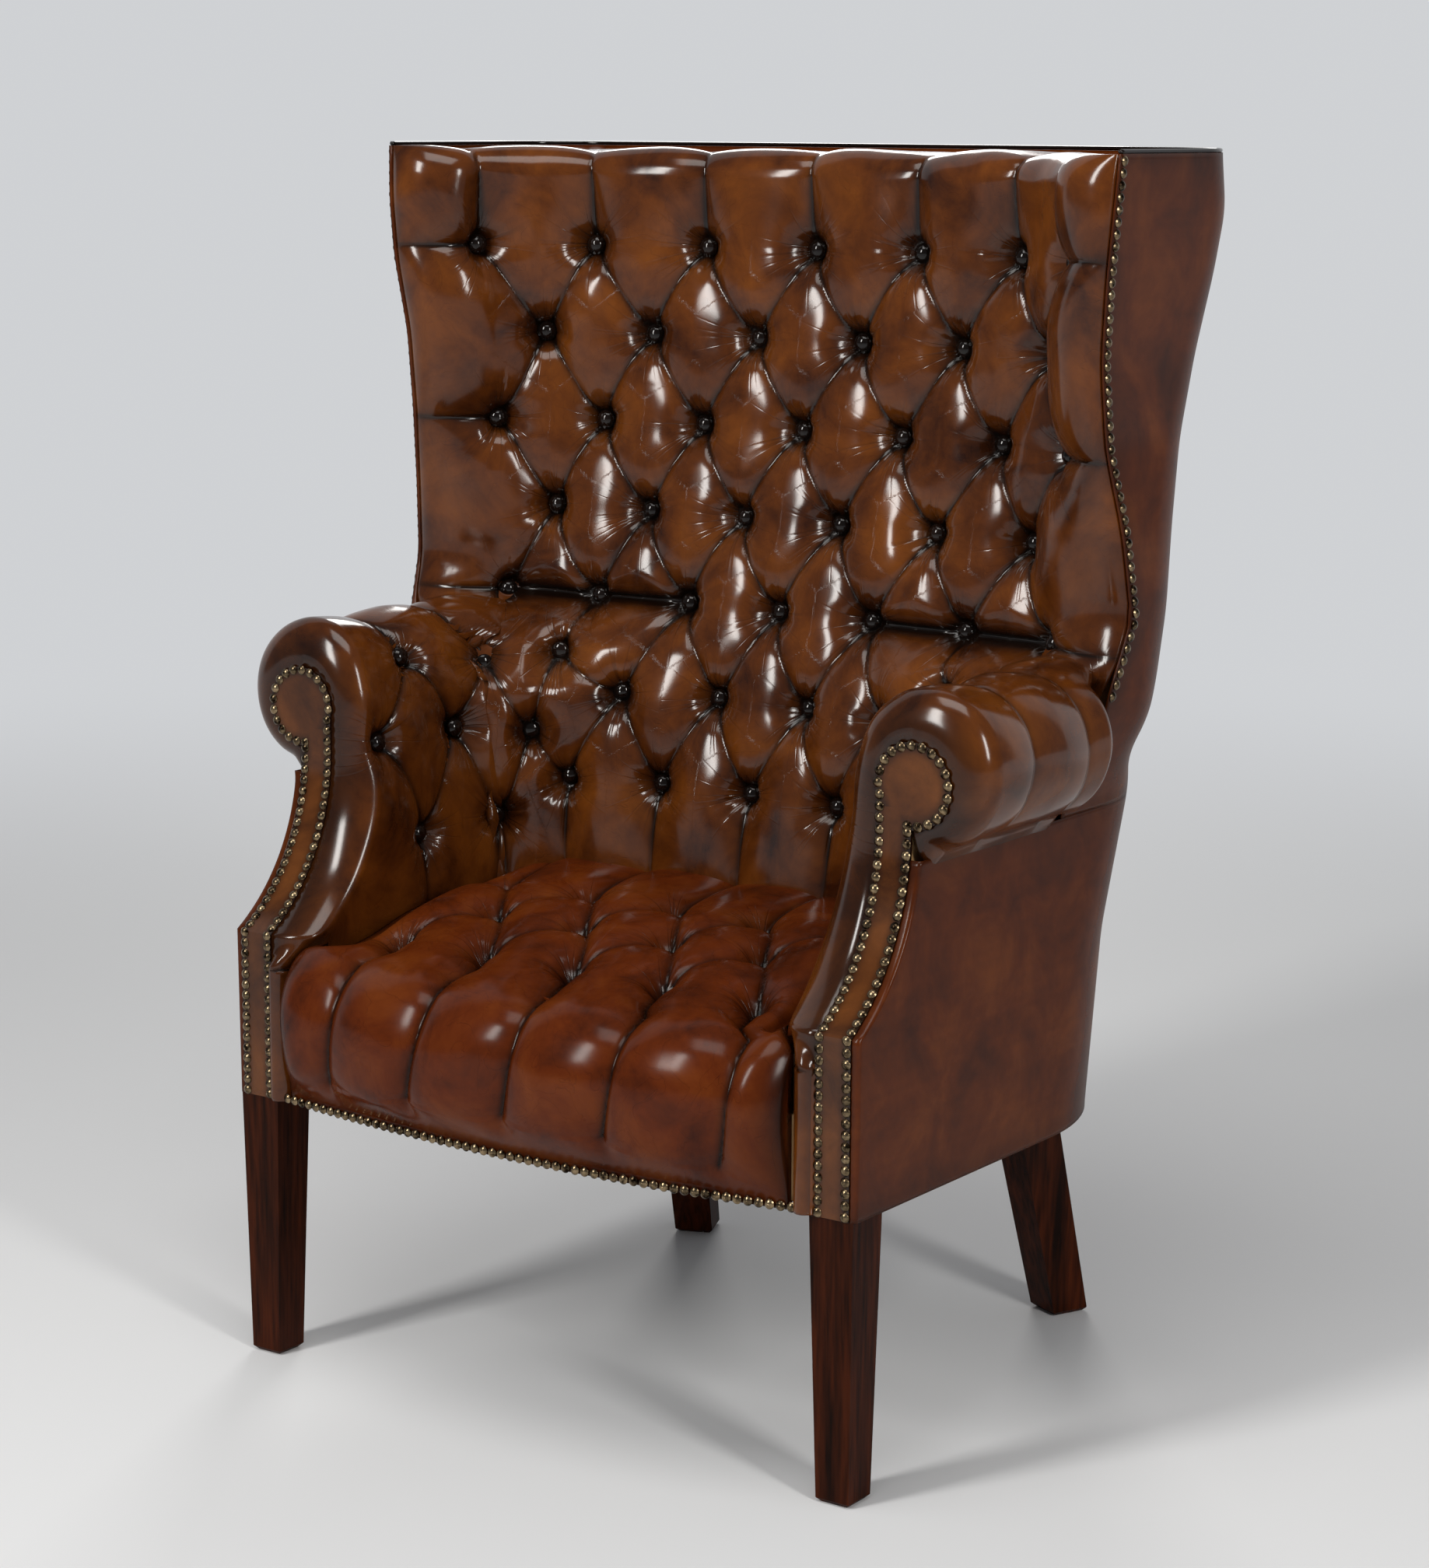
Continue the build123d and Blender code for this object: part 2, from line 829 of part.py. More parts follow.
finish(inside_back_cover, "inside_back_cover")

with BuildPart() as back_buttons:
    with Locations(*back_spots):
        add(button.part)
finish(back_buttons, "back_buttons")

# Piped welt along the top edge, from one wing's front round the back to the other.
with BuildPart() as top_welt:
    with BuildSketch(Plane.XY.offset(body_top + seam_gap)):
        cap = body_plan(body_top)
        front = wing_front(body_top)
        start = corner_start(cap)
        end = corner_end(cap)
        outer = cap[0]
        inner = cap[0] - welt_size
        chain_face(
            [
                ((outer, front), (outer, cap[1])),
                arc_points(cap, end, start, 0),
                arc_points(cap, start, -start, 0),
                arc_points(cap, -start, -end, 0),
                ((-outer, cap[1]), (-outer, front)),
                ((-outer, front), (-inner, front)),
                ((-inner, front), (-inner, cap[1])),
                arc_points(cap, -end, -start, -welt_size),
                arc_points(cap, -start, start, -welt_size),
                arc_points(cap, start, end, -welt_size),
                ((inner, cap[1]), (inner, front)),
                ((inner, front), (outer, front)),
            ]
        )
    extrude(amount=welt_size - seam_gap)
finish(top_welt, "top_welt")

# Facing panels: leather over card, a strip that ends in a round scroll.
roll_x = 350.0
roll_z = 632.0
roll_radius = 70.0
scroll_x = 346.0
scroll_z = 620.0
scroll_radius = 38.0
scroll_room = 40.0
facing_inner_x = 309.0
facing_outer_x = 345.0
with BuildPart() as facing:
    with BuildSketch(Plane.YZ.offset(facing_inner_x)):
        profile_face(upholstery_bottom, scroll_z, 0, facing_thick)
    extrude(amount=facing_outer_x - facing_inner_x)
    with BuildSketch(Plane.XZ.offset(neck_reach)):
        with Locations((scroll_x, scroll_z)):
            Circle(scroll_radius)
    extrude(amount=-facing_thick)
finish_pair(facing, "facing")

# Arm fronts: beech boards behind the facings, standing on the front leg stumps.
board_thick = 27.0
board_inset = 3.0
board_front = facing_thick + soft_gap
with BuildPart() as arm_front:
    with BuildSketch(Plane.YZ.offset(facing_inner_x + board_inset)):
        profile_face(rail_top + joint_gap, scroll_z, board_front, board_front + board_thick)
    extrude(amount=facing_outer_x - facing_inner_x - board_inset - board_inset)
    with BuildSketch(Plane.XZ.offset(neck_reach - board_front)):
        with Locations((scroll_x, scroll_z)):
            Circle(scroll_radius - fit_gap)
    extrude(amount=-board_thick)
finish_pair(arm_front, "arm_front")

# Arm rails: the beech cores of the rolls, bent round to the rear uprights.
arm_rail_height = 40.0
arm_rail_width = 46.0
arm_rail_outer = 370.0
arm_rail_bottom = scroll_z - arm_rail_height / 2
arm_rail_top = arm_rail_bottom + arm_rail_height
arm_rail_plan = body_plan(arm_rail_bottom)
arm_rail_inset = arm_rail_plan[0] - arm_rail_outer
with BuildPart() as arm_rail:
    with BuildSketch(Plane.XY.offset(arm_rail_bottom)):
        side_face(
            arm_rail_plan,
            -neck_reach + board_front + board_thick + joint_gap,
            -arm_rail_inset,
            -arm_rail_inset - arm_rail_width,
            post_top_run,
        )
    extrude(amount=arm_rail_height)
finish_pair(arm_rail, "arm_rail")

# Wing posts: they stand on the arm rails and follow the wings' front edges.
wing_post_x = 358.0
wing_post_wide = 30.0
wing_post_deep = 36.0
wing_post_room = 4.0
with BuildPart() as wing_post:
    for level in levels_between(arm_rail_top + joint_gap, top_rail_bottom - joint_gap):
        front = wing_front(level) + wing_lap + wing_post_room
        with BuildSketch(Plane.XY.offset(level)):
            with Locations((wing_post_x + wing_post_wide / 2, front + wing_post_deep / 2)):
                Rectangle(wing_post_wide, wing_post_deep)
    loft(ruled=True)
finish_pair(wing_post, "wing_post")

# Wing top rails: from the wing posts round to the ends of the top rail.
with BuildPart() as wing_top_rail:
    with BuildSketch(Plane.XY.offset(top_rail_bottom)):
        side_face(
            top_plan,
            wing_front(body_top) + wing_lap + wing_post_room,
            -rail_inset - welt_size,
            -rail_inner - welt_size,
            post_top_run + post_half + joint_gap,
        )
    extrude(amount=top_rail_height)
finish_pair(wing_top_rail, "wing_top_rail")

# Side tacking rails, level with the one across the back.
with BuildPart() as side_tacking_rail:
    with BuildSketch(Plane.XY.offset(tack_rail_bottom)):
        side_face(
            tack_plan,
            -facing_reach + board_front + board_thick + joint_gap,
            -rail_inset - fit_gap,
            -rail_inset - tack_rail_thick,
            tack_run + post_half + joint_gap + cover_gap,
        )
    extrude(amount=tack_rail_height)
finish_pair(side_tacking_rail, "side_tacking_rail")


def three_rows(rows, spread, tuft, place):
    """Pleat points and crowns of a section through three rows of tufts.

    Spread is 0 where the middle row is drawn in and 1 where the outer rows are.
    """
    first, middle, last = rows
    before = middle - first - 2 * pocket_half
    after = last - middle - 2 * pocket_half
    depth = tuft - (tuft - pleat_depth) * 4 * spread * (1 - spread)
    runs = [
        first - pocket_half,
        middle - pocket_half - spread * before,
        middle + pocket_half + spread * after,
        last + pocket_half,
    ]
    end_depth = pocket_rise + (depth - pocket_rise) * spread
    sinks = [end_depth, depth, depth, end_depth]
    places = [place(run, tuft - sink) for run, sink in zip(runs, sinks)]
    crowns = []
    for number, widest in enumerate((before, before + after, after)):
        width = runs[number + 1] - runs[number] - 2 * pocket_half
        share = min(1, max(0, width / widest)) ** swell_share
        low = depth - pocket_rise
        crowns.append(place((runs[number] + runs[number + 1]) / 2, tuft - low * (1 - share)))
    return places, crowns


# Tufted arm covers: leather with its wadding, from the roll's underside over the roll and down the
# inside. The places are where the section's button line bends, each with the way it faces.
arm_tuft = 22.0
arm_bottom = 402.0
arm_back_x = 303.5
arm_knee = 600.0
arm_places = (
    (350.0, 680.0),
    (306.0, 660.0),
    (287.0, 585.0),
    (285.0, 488.0),
    (285.0, 402.0),
)
arm_facing_shares = (
    (0.0, 1.0),
    (-0.82, 0.57),
    (-0.97, 0.24),
    (-1.0, 0.0),
    (-1.0, 0.0),
)
arm_columns = (-137.0, -80.0, -25.0)
arm_spread_shares = (0.0, 0.0, 0.5, 1.0, 0.5, 0.0, 0.5)
arm_girths = [0.0]
for near, far in zip(arm_places, arm_places[1:]):
    arm_girths.append(arm_girths[-1] + math.dist(near, far))
arm_base_plan = arm_plan(upholstery_bottom)


def eased(x, z, y):
    """A point of the arm's inside, drawn in where the inside turns towards the back."""
    shift = arm_inner_half - point_at_y(arm_base_plan, y, 0)[0]
    return x - shift * (1 - between(opening_share, z, height)), z


def arm_place(girth, rise, y):
    """Point of the arm's section at a girth, raised off the button line."""
    number = 0
    while number < len(arm_places) - 2 and girth > arm_girths[number + 1]:
        number = number + 1
    low, high = arm_girths[number], arm_girths[number + 1]
    part = (girth - low) / (high - low)
    near, far = arm_places[number], arm_places[number + 1]
    x, z = [a + (b - a) * part for a, b in zip(near, far)]
    near, far = arm_facing_shares[number], arm_facing_shares[number + 1]
    side, up = [a + (b - a) * part for a, b in zip(near, far)]
    size = math.hypot(side, up)
    return eased(x + rise * side / size, z + rise * up / size, y)


def around(x, z, radius, degrees):
    turn = math.radians(degrees)
    return x + radius * math.cos(turn), z + radius * math.sin(turn)


def arm_face(y, spread):
    """Section of the arm cover at a y."""

    def place(girth, rise):
        return arm_place(girth, rise, y)

    places, crowns = three_rows(arm_girths[1:4], spread, arm_tuft, place)
    under = around(roll_x, roll_z, roll_radius, -90)
    side = around(roll_x, roll_z, roll_radius, 0)
    top = around(roll_x, roll_z, roll_radius, 90)
    foot = place(arm_girths[4], arm_tuft - pocket_rise)
    shoulder = place((arm_girths[1] - pocket_half) / 2, arm_tuft + pocket_rise)
    skirt_girth = (arm_girths[3] + pocket_half + arm_girths[4]) / 2
    skirt = place(skirt_girth, arm_tuft - pleat_depth * spread)
    knee = eased(arm_back_x, arm_knee, y)
    back_foot = eased(arm_back_x, arm_bottom, y)
    inner_top = around(scroll_x, scroll_z, scroll_room, 90)
    inner_side = around(scroll_x, scroll_z, scroll_room, 0)
    inner_under = (roll_x, scroll_z - scroll_room)
    chain_face(
        [
            (under, around(roll_x, roll_z, roll_radius, -45), side),
            (side, around(roll_x, roll_z, roll_radius, 45), top),
            (top, shoulder, places[0]),
        ]
        + quilt_arcs(places, crowns)
        + [
            (places[3], skirt, foot),
            (foot, back_foot),
            (back_foot, knee),
            (knee, around(scroll_x, scroll_z, scroll_room + button_rim, 150), inner_top),
            (inner_top, around(scroll_x, scroll_z, scroll_room, 45), inner_side),
            (inner_side, around(scroll_x, scroll_z, scroll_room, -45), inner_under),
            (inner_under, under),
        ]
    )


def tail_face(radius):
    """Rear end of the roll, outside the arm rail."""
    rise = math.sqrt(radius**2 - (tail_x - roll_x) ** 2)
    low = (tail_x, roll_z - rise)
    high = (tail_x, roll_z + rise)
    chain_face([(low, (roll_x + radius, roll_z), high), (high, low)])


def arm_spots():
    """Where an arm's buttons sit, with the way each one faces."""
    spots = []
    for row, column in ((1, 1), (2, 0), (2, 2), (3, 1)):
        x, z = arm_places[row]
        side, up = arm_facing_shares[row]
        y = arm_columns[column]
        x, z = eased(x, z, y)
        spots.append(Plane(origin=(x, y, z), z_dir=(side, 0, up)))
    return spots


tail_x = 374.0
tail_end = 51.0
first, middle, last = arm_columns
arm_section_places = (
    -facing_reach - fit_gap,
    first,
    (first + middle) / 2,
    middle,
    (middle + last) / 2,
    last,
    arm_join_y - soft_gap,
)
with BuildPart() as arm_cover:
    for y, spread in zip(arm_section_places, arm_spread_shares):
        with BuildSketch(Plane.XZ.offset(-y)):
            arm_face(y, spread)
    loft(ruled=True)
    with BuildSketch(Plane.XZ.offset(-arm_join_y + pocket_rise)):
        tail_face(roll_radius - soft_gap)
    with BuildSketch(Plane.XZ.offset(-tail_end)):
        tail_face(roll_radius)
    loft(ruled=True)
    with BuildSketch(Plane.YZ):
        front_cut(0)
    extrude(amount=height, mode=Mode.SUBTRACT)
    with Locations(*[spot.offset(-soft_gap) for spot in arm_spots()]):
        Cylinder(
            button_hole_radius,
            tuft_depth,
            align=(Align.CENTER, Align.CENTER, Align.MIN),
            mode=Mode.SUBTRACT,
        )
finish_pair(arm_cover, "arm_cover")

with BuildPart() as arm_buttons:
    with Locations(*arm_spots()):
        add(button.part)
finish_pair(arm_buttons, "arm_buttons")

# Seat. The front rail's bow, and the floor shape that the cloths and the stuffing share.
bow_radius = (front_rail_half**2 + front_bow**2) / (front_bow + front_bow)
floor_inset = 20.0
floor_front_x = 303.0
floor_notch_y = stump_centre_y + stump_half + fit_gap + fit_gap


def bow_y(x):
    """Front face of the front rail at a distance from the chair's middle."""
    return front_rail_end_y - front_bow + bow_radius - math.sqrt(bow_radius**2 - x**2)


def floor_face(inset, front_inset):
    """Floor of the seat: notched at the front legs, round at the back."""
    outline = bottom_plan
    start = corner_start(outline)
    end = corner_end(outline)
    side_x = outline[0] - inset
    front = (floor_front_x, bow_y(floor_front_x) + front_inset)
    notch = (floor_front_x, floor_notch_y)
    corner = (side_x, floor_notch_y)
    side_top = (side_x, outline[1])
    chain_face(
        [
            (mirrored(front), (0, bow_y(0) + front_inset), front),
            (front, notch),
            (notch, corner),
            (corner, side_top),
            arc_points(outline, end, start, -inset),
            arc_points(outline, start, -start, -inset),
            arc_points(outline, -start, -end, -inset),
            (mirrored(side_top), mirrored(corner)),
            (mirrored(corner), mirrored(notch)),
            (mirrored(notch), mirrored(front)),
        ]
    )


def post_notches(depth):
    """Clears the rear posts out of a floor cloth."""
    for side in (1, -1):
        with BuildSketch(Plane.XY.offset(depth)) as notch:
            band_face(
                bottom_plan,
                side * (post_run - post_half - cover_gap),
                side * (post_run + post_half + cover_gap),
                -rail_inset + fit_gap,
                -rail_inset - post_inset - post_thick - fit_gap - fit_gap,
            )
        extrude(notch.sketch, amount=overrun, mode=Mode.SUBTRACT)


# Black cloth under the seat, tacked to the rails.
webbing_z = rail_bottom - webbing_thick - soft_gap
under_webbing_z = webbing_z - webbing_thick - soft_gap
bottom_cloth_z = under_webbing_z - cloth_thick - soft_gap
with BuildPart() as bottom_cloth:
    with BuildSketch(Plane.XY.offset(bottom_cloth_z)):
        floor_face(floor_inset, floor_inset / 2)
    extrude(amount=cloth_thick)
    post_notches(bottom_cloth_z)
finish(bottom_cloth, "bottom_cloth")

# Seat webbing: strips from front to back over strips from side to side, under the rails.
webbing_step = 82.0
webbing_back_y = 265.0
webbing_side_y = -190.0
with BuildPart() as seat_webbing:
    for number in range(-3, 4):
        x = number * webbing_step
        front = bow_y(abs(x) + webbing_width / 2) + floor_inset / 2
        back = webbing_back_y
        if abs(number) > 1:
            back = webbing_back_y - abs(number) * webbing_width
        with BuildSketch(Plane.XY.offset(webbing_z)):
            with Locations((x, (front + back) / 2)):
                Rectangle(webbing_width, back - front)
        extrude(amount=webbing_thick)
    for number in range(5):
        y = webbing_side_y + number * webbing_step
        half = point_at_y(bottom_plan, y + webbing_width / 2, -floor_inset)[0]
        with BuildSketch(Plane.XY.offset(under_webbing_z)):
            with Locations((0, y)):
                Rectangle(half + half, webbing_width)
        extrude(amount=webbing_thick)
finish(seat_webbing, "seat_webbing")

# Seat springs: nine waisted coils standing on the webbing.
spring_wire = 1.8
spring_radius = 30.0
spring_pitch = 14.0
spring_room = 0.1
spring_step_x = 150.0
spring_step_y = 130.0
spring_front_y = -170.0
spring_foot = rail_bottom + spring_wire + spring_room
spring_tall = rail_top - spring_foot - spring_wire - spring_room
with BuildPart() as spring:
    with BuildLine() as coil:
        Helix(spring_pitch, spring_tall, spring_radius)
    with BuildSketch(Plane(origin=coil.line @ 0, z_dir=coil.line % 0)):
        Circle(spring_wire)
    sweep(path=coil.line)
with BuildPart() as seat_springs:
    for column in (-1, 0, 1):
        for row in range(3):
            x = column * spring_step_x
            y = spring_front_y + row * spring_step_y
            with Locations((x, y, spring_foot)):
                add(spring.part)
finish(seat_springs, "seat_springs")

# Hessian over the springs, tacked to the tops of the rails.
canvas_z = rail_top + joint_gap
with BuildPart() as spring_canvas:
    with BuildSketch(Plane.XY.offset(canvas_z)):
        floor_face(floor_inset, floor_inset / 2)
    extrude(amount=hessian_thick)
    post_notches(canvas_z)
finish(spring_canvas, "spring_canvas")

# Seat stuffing: a firm layer between the hessian and the cover.
seat_under = 385.0
stuffing_z = canvas_z + hessian_thick + soft_gap
with BuildPart() as seat_stuffing:
    with BuildSketch(Plane.XY.offset(stuffing_z)):
        floor_face(post_thick + rail_inset + post_inset + cover_gap, overrun)
    extrude(amount=seat_under - soft_gap - stuffing_z)
finish(seat_stuffing, "seat_stuffing")

# Seat cover: leather with its wadding, tufted on top, swelling over the front and down the bow.
seat_rows = (-207.0, -125.0, -45.0)
seat_line = (
    (-262.0, 392.0),
    (-207.0, 402.0),
    (-125.0, 419.0),
    (-45.0, 427.0),
    (60.0, 429.0),
)
seat_pitch = 110.0
seat_half = 254.0
seat_tuck = 397.0
seat_tuck_x = 257.5
seat_edge_x = 303.0
front_skin = 6.0
front_foot_top = 268.0
front_belly = 335.0
front_top = 410.0
front_top_back = 22.0
front_fall = 36.0
seat_stop = 4.0
seat_back_room = 7.0
seat_back_level = 420.0
seat_back_plan = arm_plan(seat_back_level)


def seat_spread(way):
    """1 where the front and rear rows are drawn in, 0 where the middle row is."""
    if way > seat_pitch + seat_pitch:
        return 1 / 2
    part = way / seat_pitch % 1
    return abs(1 - 2 * part)


def seat_face(x):
    """Section of the seat cover at a distance from the chair's middle."""
    way = abs(x)
    tucked = way > seat_half
    spread = seat_spread(way)

    def place(y, rise):
        if tucked:
            return y, seat_tuck - (tuft_depth - rise) / tuft_depth * leather_thick
        return y, between(seat_line, y, 1) + rise

    places, crowns = three_rows(seat_rows, spread, tuft_depth, place)
    lip = bow_y(way)
    reach = max(0, way - seat_pitch / 2) / (seat_edge_x - seat_pitch / 2)
    belly_y = -seat_front_reach + front_fall * reach**2 + pleat_depth * spread
    crest = (lip + front_top_back, front_top)
    if tucked:
        crest = (lip + seat_stop, seat_tuck - leather_thick)
    front_crown = place((crest[0] + places[0][0]) / 2, tuft_depth - pleat_depth * spread)
    back_x = min(way, seat_half - seat_stop)
    back_y = y_at(seat_back_plan, back_x, -tuft_depth) - seat_back_room
    back_top = place(back_y, tuft_depth - pocket_rise - seat_stop)
    back_crown = place((places[3][0] + back_y) / 2, tuft_depth)
    inner = lip - fit_gap
    foot = lip - front_skin
    chain_face(
        [
            ((inner, upholstery_bottom), (foot, upholstery_bottom)),
            ((foot, upholstery_bottom), (foot, front_foot_top)),
            ((foot, front_foot_top), (belly_y, front_belly), crest),
            (crest, front_crown, places[0]),
        ]
        + quilt_arcs(places, crowns)
        + [
            (places[3], back_crown, back_top),
            (back_top, (back_y, seat_under)),
            ((back_y, seat_under), (inner, seat_under)),
            ((inner, seat_under), (inner, upholstery_bottom)),
        ]
    )


seat_stations = [number * seat_pitch / 4 for number in range(9)] + [
    (seat_pitch + seat_pitch + seat_half) / 2,
    seat_half,
    seat_tuck_x,
    seat_edge_x,
]
with BuildPart() as seat_cover:
    for x in [-station for station in reversed(seat_stations[1:])] + seat_stations:
        with BuildSketch(Plane.YZ.offset(x)):
            seat_face(x)
    loft(ruled=True)
finish(seat_cover, "seat_cover")

# Back: hessian on webbing across the uprights, and the stuffing in front of it.
back_webbing_inset = 47.5
back_hessian_inset = back_webbing_inset + webbing_thick + soft_gap
back_stuffing_inset = back_hessian_inset + hessian_thick + soft_gap
back_band_run = 240.0
stuffing_room = 4.8
back_levels = [lower_bottom] + lower_levels + upper_levels[1:] + [(first_row + crown_top) / 2]
with BuildPart() as back_webbing:
    for number in range(-2, 3):
        run = number * (webbing_width + webbing_width)
        for level in back_levels:
            with BuildSketch(Plane.XY.offset(level)):
                band_face(
                    body_plan(level),
                    run - webbing_width / 2,
                    run + webbing_width / 2,
                    -back_webbing_inset,
                    -back_webbing_inset - webbing_thick,
                )
        loft(ruled=True)
finish(back_webbing, "back_webbing")

with BuildPart() as back_hessian:
    for level in back_levels:
        with BuildSketch(Plane.XY.offset(level)):
            band_face(
                body_plan(level),
                -back_band_run,
                back_band_run,
                -back_hessian_inset,
                -back_hessian_inset - hessian_thick,
            )
    loft(ruled=True)
finish(back_hessian, "back_hessian")

with BuildPart() as back_stuffing:
    for level in back_levels:
        outline = body_plan(level)
        inner = wing_plan(level) if level >= upper_bottom else arm_plan(level)
        join = corner_start(inner)
        turn_in = place_at(inner, join, cover_back + stuffing_room)
        outer_end = place_at(outline, back_band_run, -back_stuffing_inset)
        with BuildSketch(Plane.XY.offset(level)):
            chain_face(
                [
                    arc_points(inner, -join, join, cover_back + stuffing_room),
                    (turn_in, outer_end),
                    arc_points(outline, back_band_run, -back_band_run, -back_stuffing_inset),
                    (mirrored(outer_end), mirrored(turn_in)),
                ]
            )
    loft(ruled=True)
finish(back_stuffing, "back_stuffing")

# Brass-headed nails.
with BuildPart() as nail:
    domed(nail_radius, nail_rim, nail_height)


def steps(length):
    """Even steps along a length, about one nail pitch apart."""
    count = round(length / nail_pitch)
    return [length * number / count for number in range(count + 1)]


facing_nail_inset = 4.0
nail_foot = 262.0
scroll_nail_radius = 35.0
scroll_turn = 278.0


def facing_nail_spots():
    """Up both edges of the facing strip and round the scroll."""
    spots = []
    upright = kink_height - nail_foot
    sweep = math.asin((neck_height - kink_height) / profile_radius)
    swept = profile_radius * sweep
    for x in (facing_inner_x + facing_nail_inset, facing_outer_x - facing_nail_inset):
        top = scroll_z - nail_pitch
        if x > scroll_x - scroll_nail_radius / 2:
            top = scroll_z - scroll_nail_radius - nail_pitch / 2
        for run in steps(upright + swept + top - neck_height):
            if run <= upright:
                y = -facing_reach
                z = nail_foot + run
                facing_way = (0, -1, 0)
            elif run <= upright + swept:
                turn = sweep - (run - upright) / profile_radius
                y = -neck_reach - profile_radius + profile_radius * math.cos(turn)
                z = neck_height - profile_radius * math.sin(turn)
                facing_way = (0, -math.cos(turn), math.sin(turn))
            else:
                y = -neck_reach
                z = neck_height + run - upright - swept
                facing_way = (0, -1, 0)
            spots.append(Plane(origin=(x, y, z), z_dir=facing_way).offset(nail_gap))
    round_length = math.radians(scroll_turn) * scroll_nail_radius
    for run in steps(round_length):
        x, z = around(scroll_x, scroll_z, scroll_nail_radius, 180 - math.degrees(run / scroll_nail_radius))
        spots.append(Plane(origin=(x, -neck_reach - nail_gap, z), z_dir=(0, -1, 0)))
    return spots


with BuildPart() as facing_nails:
    with Locations(*facing_nail_spots()):
        add(nail.part)
finish_pair(facing_nails, "facing_nails")

# Wing nails, on the outside along each wing's front edge.
wing_nail_bottom = 672.0
wing_nail_top = 1140.0
wing_nail_back = 5.5
wing_nail_gap = 0.6
wing_nail_spots = []
for rise in steps(wing_nail_top - wing_nail_bottom):
    level = wing_nail_bottom + rise
    high, low = [
        between(body_column(1), level + step, height) * wing_half_width
        for step in (nail_radius, -nail_radius)
    ]
    middle = Plane(
        origin=((high + low) / 2, wing_front(level) + wing_nail_back, level),
        z_dir=(nail_radius + nail_radius, 0, low - high),
    )
    wing_nail_spots.append(middle.offset(wing_nail_gap))
with BuildPart() as wing_nails:
    with Locations(*wing_nail_spots):
        add(nail.part)
finish_pair(wing_nails, "wing_nails")

# Front nails, along the foot of the seat's front.
front_nail_spots = []
front_nail_half = seat_edge_x - nail_radius
for run in steps(front_nail_half + front_nail_half):
    x = run - front_nail_half
    foot_face = Plane(
        origin=(x, bow_y(abs(x)) - front_skin, nail_foot),
        z_dir=(x, -math.sqrt(bow_radius**2 - x**2), 0),
    )
    front_nail_spots.append(foot_face.offset(soft_gap))
with BuildPart() as front_nails:
    with Locations(*front_nail_spots):
        add(nail.part)
finish(front_nails, "front_nails")

# Corner blocks, glued into the front corners of the seat frame.
block_long = 55.0
block_height = 40.0
block_corner = (bottom_plan[0] - rail_inner - fit_gap, stump_centre_y + stump_half + fit_gap)
with BuildPart() as corner_blocks:
    with BuildSketch(Plane.XY.offset(rail_bottom + overrun)):
        block_x, block_y = block_corner
        far_x = block_x - block_long
        far_y = bow_y(far_x) + rail_thick + fit_gap
        Polygon(
            (block_x, block_y),
            (block_x, block_y + block_long),
            (far_x, far_y),
            (stump_centre_x - stump_half, block_y),
            align=None,
        )
    extrude(amount=block_height)
    mirror(about=Plane.YZ)
finish(corner_blocks, "corner_blocks")
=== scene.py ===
import math

import bmesh
import bpy
import numpy as np
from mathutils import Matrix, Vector


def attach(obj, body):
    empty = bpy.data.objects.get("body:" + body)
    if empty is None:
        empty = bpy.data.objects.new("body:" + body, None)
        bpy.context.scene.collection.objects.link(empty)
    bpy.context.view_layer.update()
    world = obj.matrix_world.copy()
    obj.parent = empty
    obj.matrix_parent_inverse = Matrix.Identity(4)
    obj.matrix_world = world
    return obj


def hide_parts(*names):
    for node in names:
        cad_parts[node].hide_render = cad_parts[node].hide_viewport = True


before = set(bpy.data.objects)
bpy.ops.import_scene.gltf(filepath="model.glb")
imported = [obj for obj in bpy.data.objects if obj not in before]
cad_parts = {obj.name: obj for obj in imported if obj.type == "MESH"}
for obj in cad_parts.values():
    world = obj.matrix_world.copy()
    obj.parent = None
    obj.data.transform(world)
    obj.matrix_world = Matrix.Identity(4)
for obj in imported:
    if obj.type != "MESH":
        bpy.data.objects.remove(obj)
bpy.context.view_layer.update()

# Camera. It stands to the right of the chair at about the height of its top and looks down a
# little. The lens and the place come from matching the chair's own corners in the picture.
camera_turn = 0.6207
camera_tilt = 0.1856
camera_roll = -0.0045
camera_data = bpy.data.cameras.new("camera")
camera_data.lens = 82.14
camera_data.sensor_width = 36
camera_data.sensor_fit = "AUTO"
camera = bpy.data.objects.new("camera", camera_data)
camera.location = (1.9367, -2.6949, 1.1796)
camera.rotation_euler = (math.pi / 2 - camera_tilt, camera_roll, camera_turn)
bpy.context.scene.collection.objects.link(camera)
bpy.context.scene.camera = camera


# Node helpers for the materials. Each returns the socket that the next node takes; a value that
# is not a socket is set on the node itself.
def linear(code):
    """Linear colour of an sRGB hex code."""
    parts = [int(code[start : start + 2], 16) / 255 for start in (1, 3, 5)]
    parts = [p / 12.92 if p <= 0.04045 else ((p + 0.055) / 1.055) ** 2.4 for p in parts]
    return (*parts, 1)


def add_node(tree, kind, inputs=None, **settings):
    """Adds a node with its settings; an input is a value or the socket that feeds it."""
    node = tree.nodes.new(kind)
    for name, value in settings.items():
        setattr(node, name, value)
    for name, value in (inputs or {}).items():
        if isinstance(value, bpy.types.NodeSocket):
            tree.links.new(value, node.inputs[name])
        else:
            node.inputs[name].default_value = value
    return node


def calc(tree, operation, *values):
    """The result of a math operation."""
    inputs = dict(enumerate(values))
    return add_node(tree, "ShaderNodeMath", inputs, operation=operation).outputs[0]


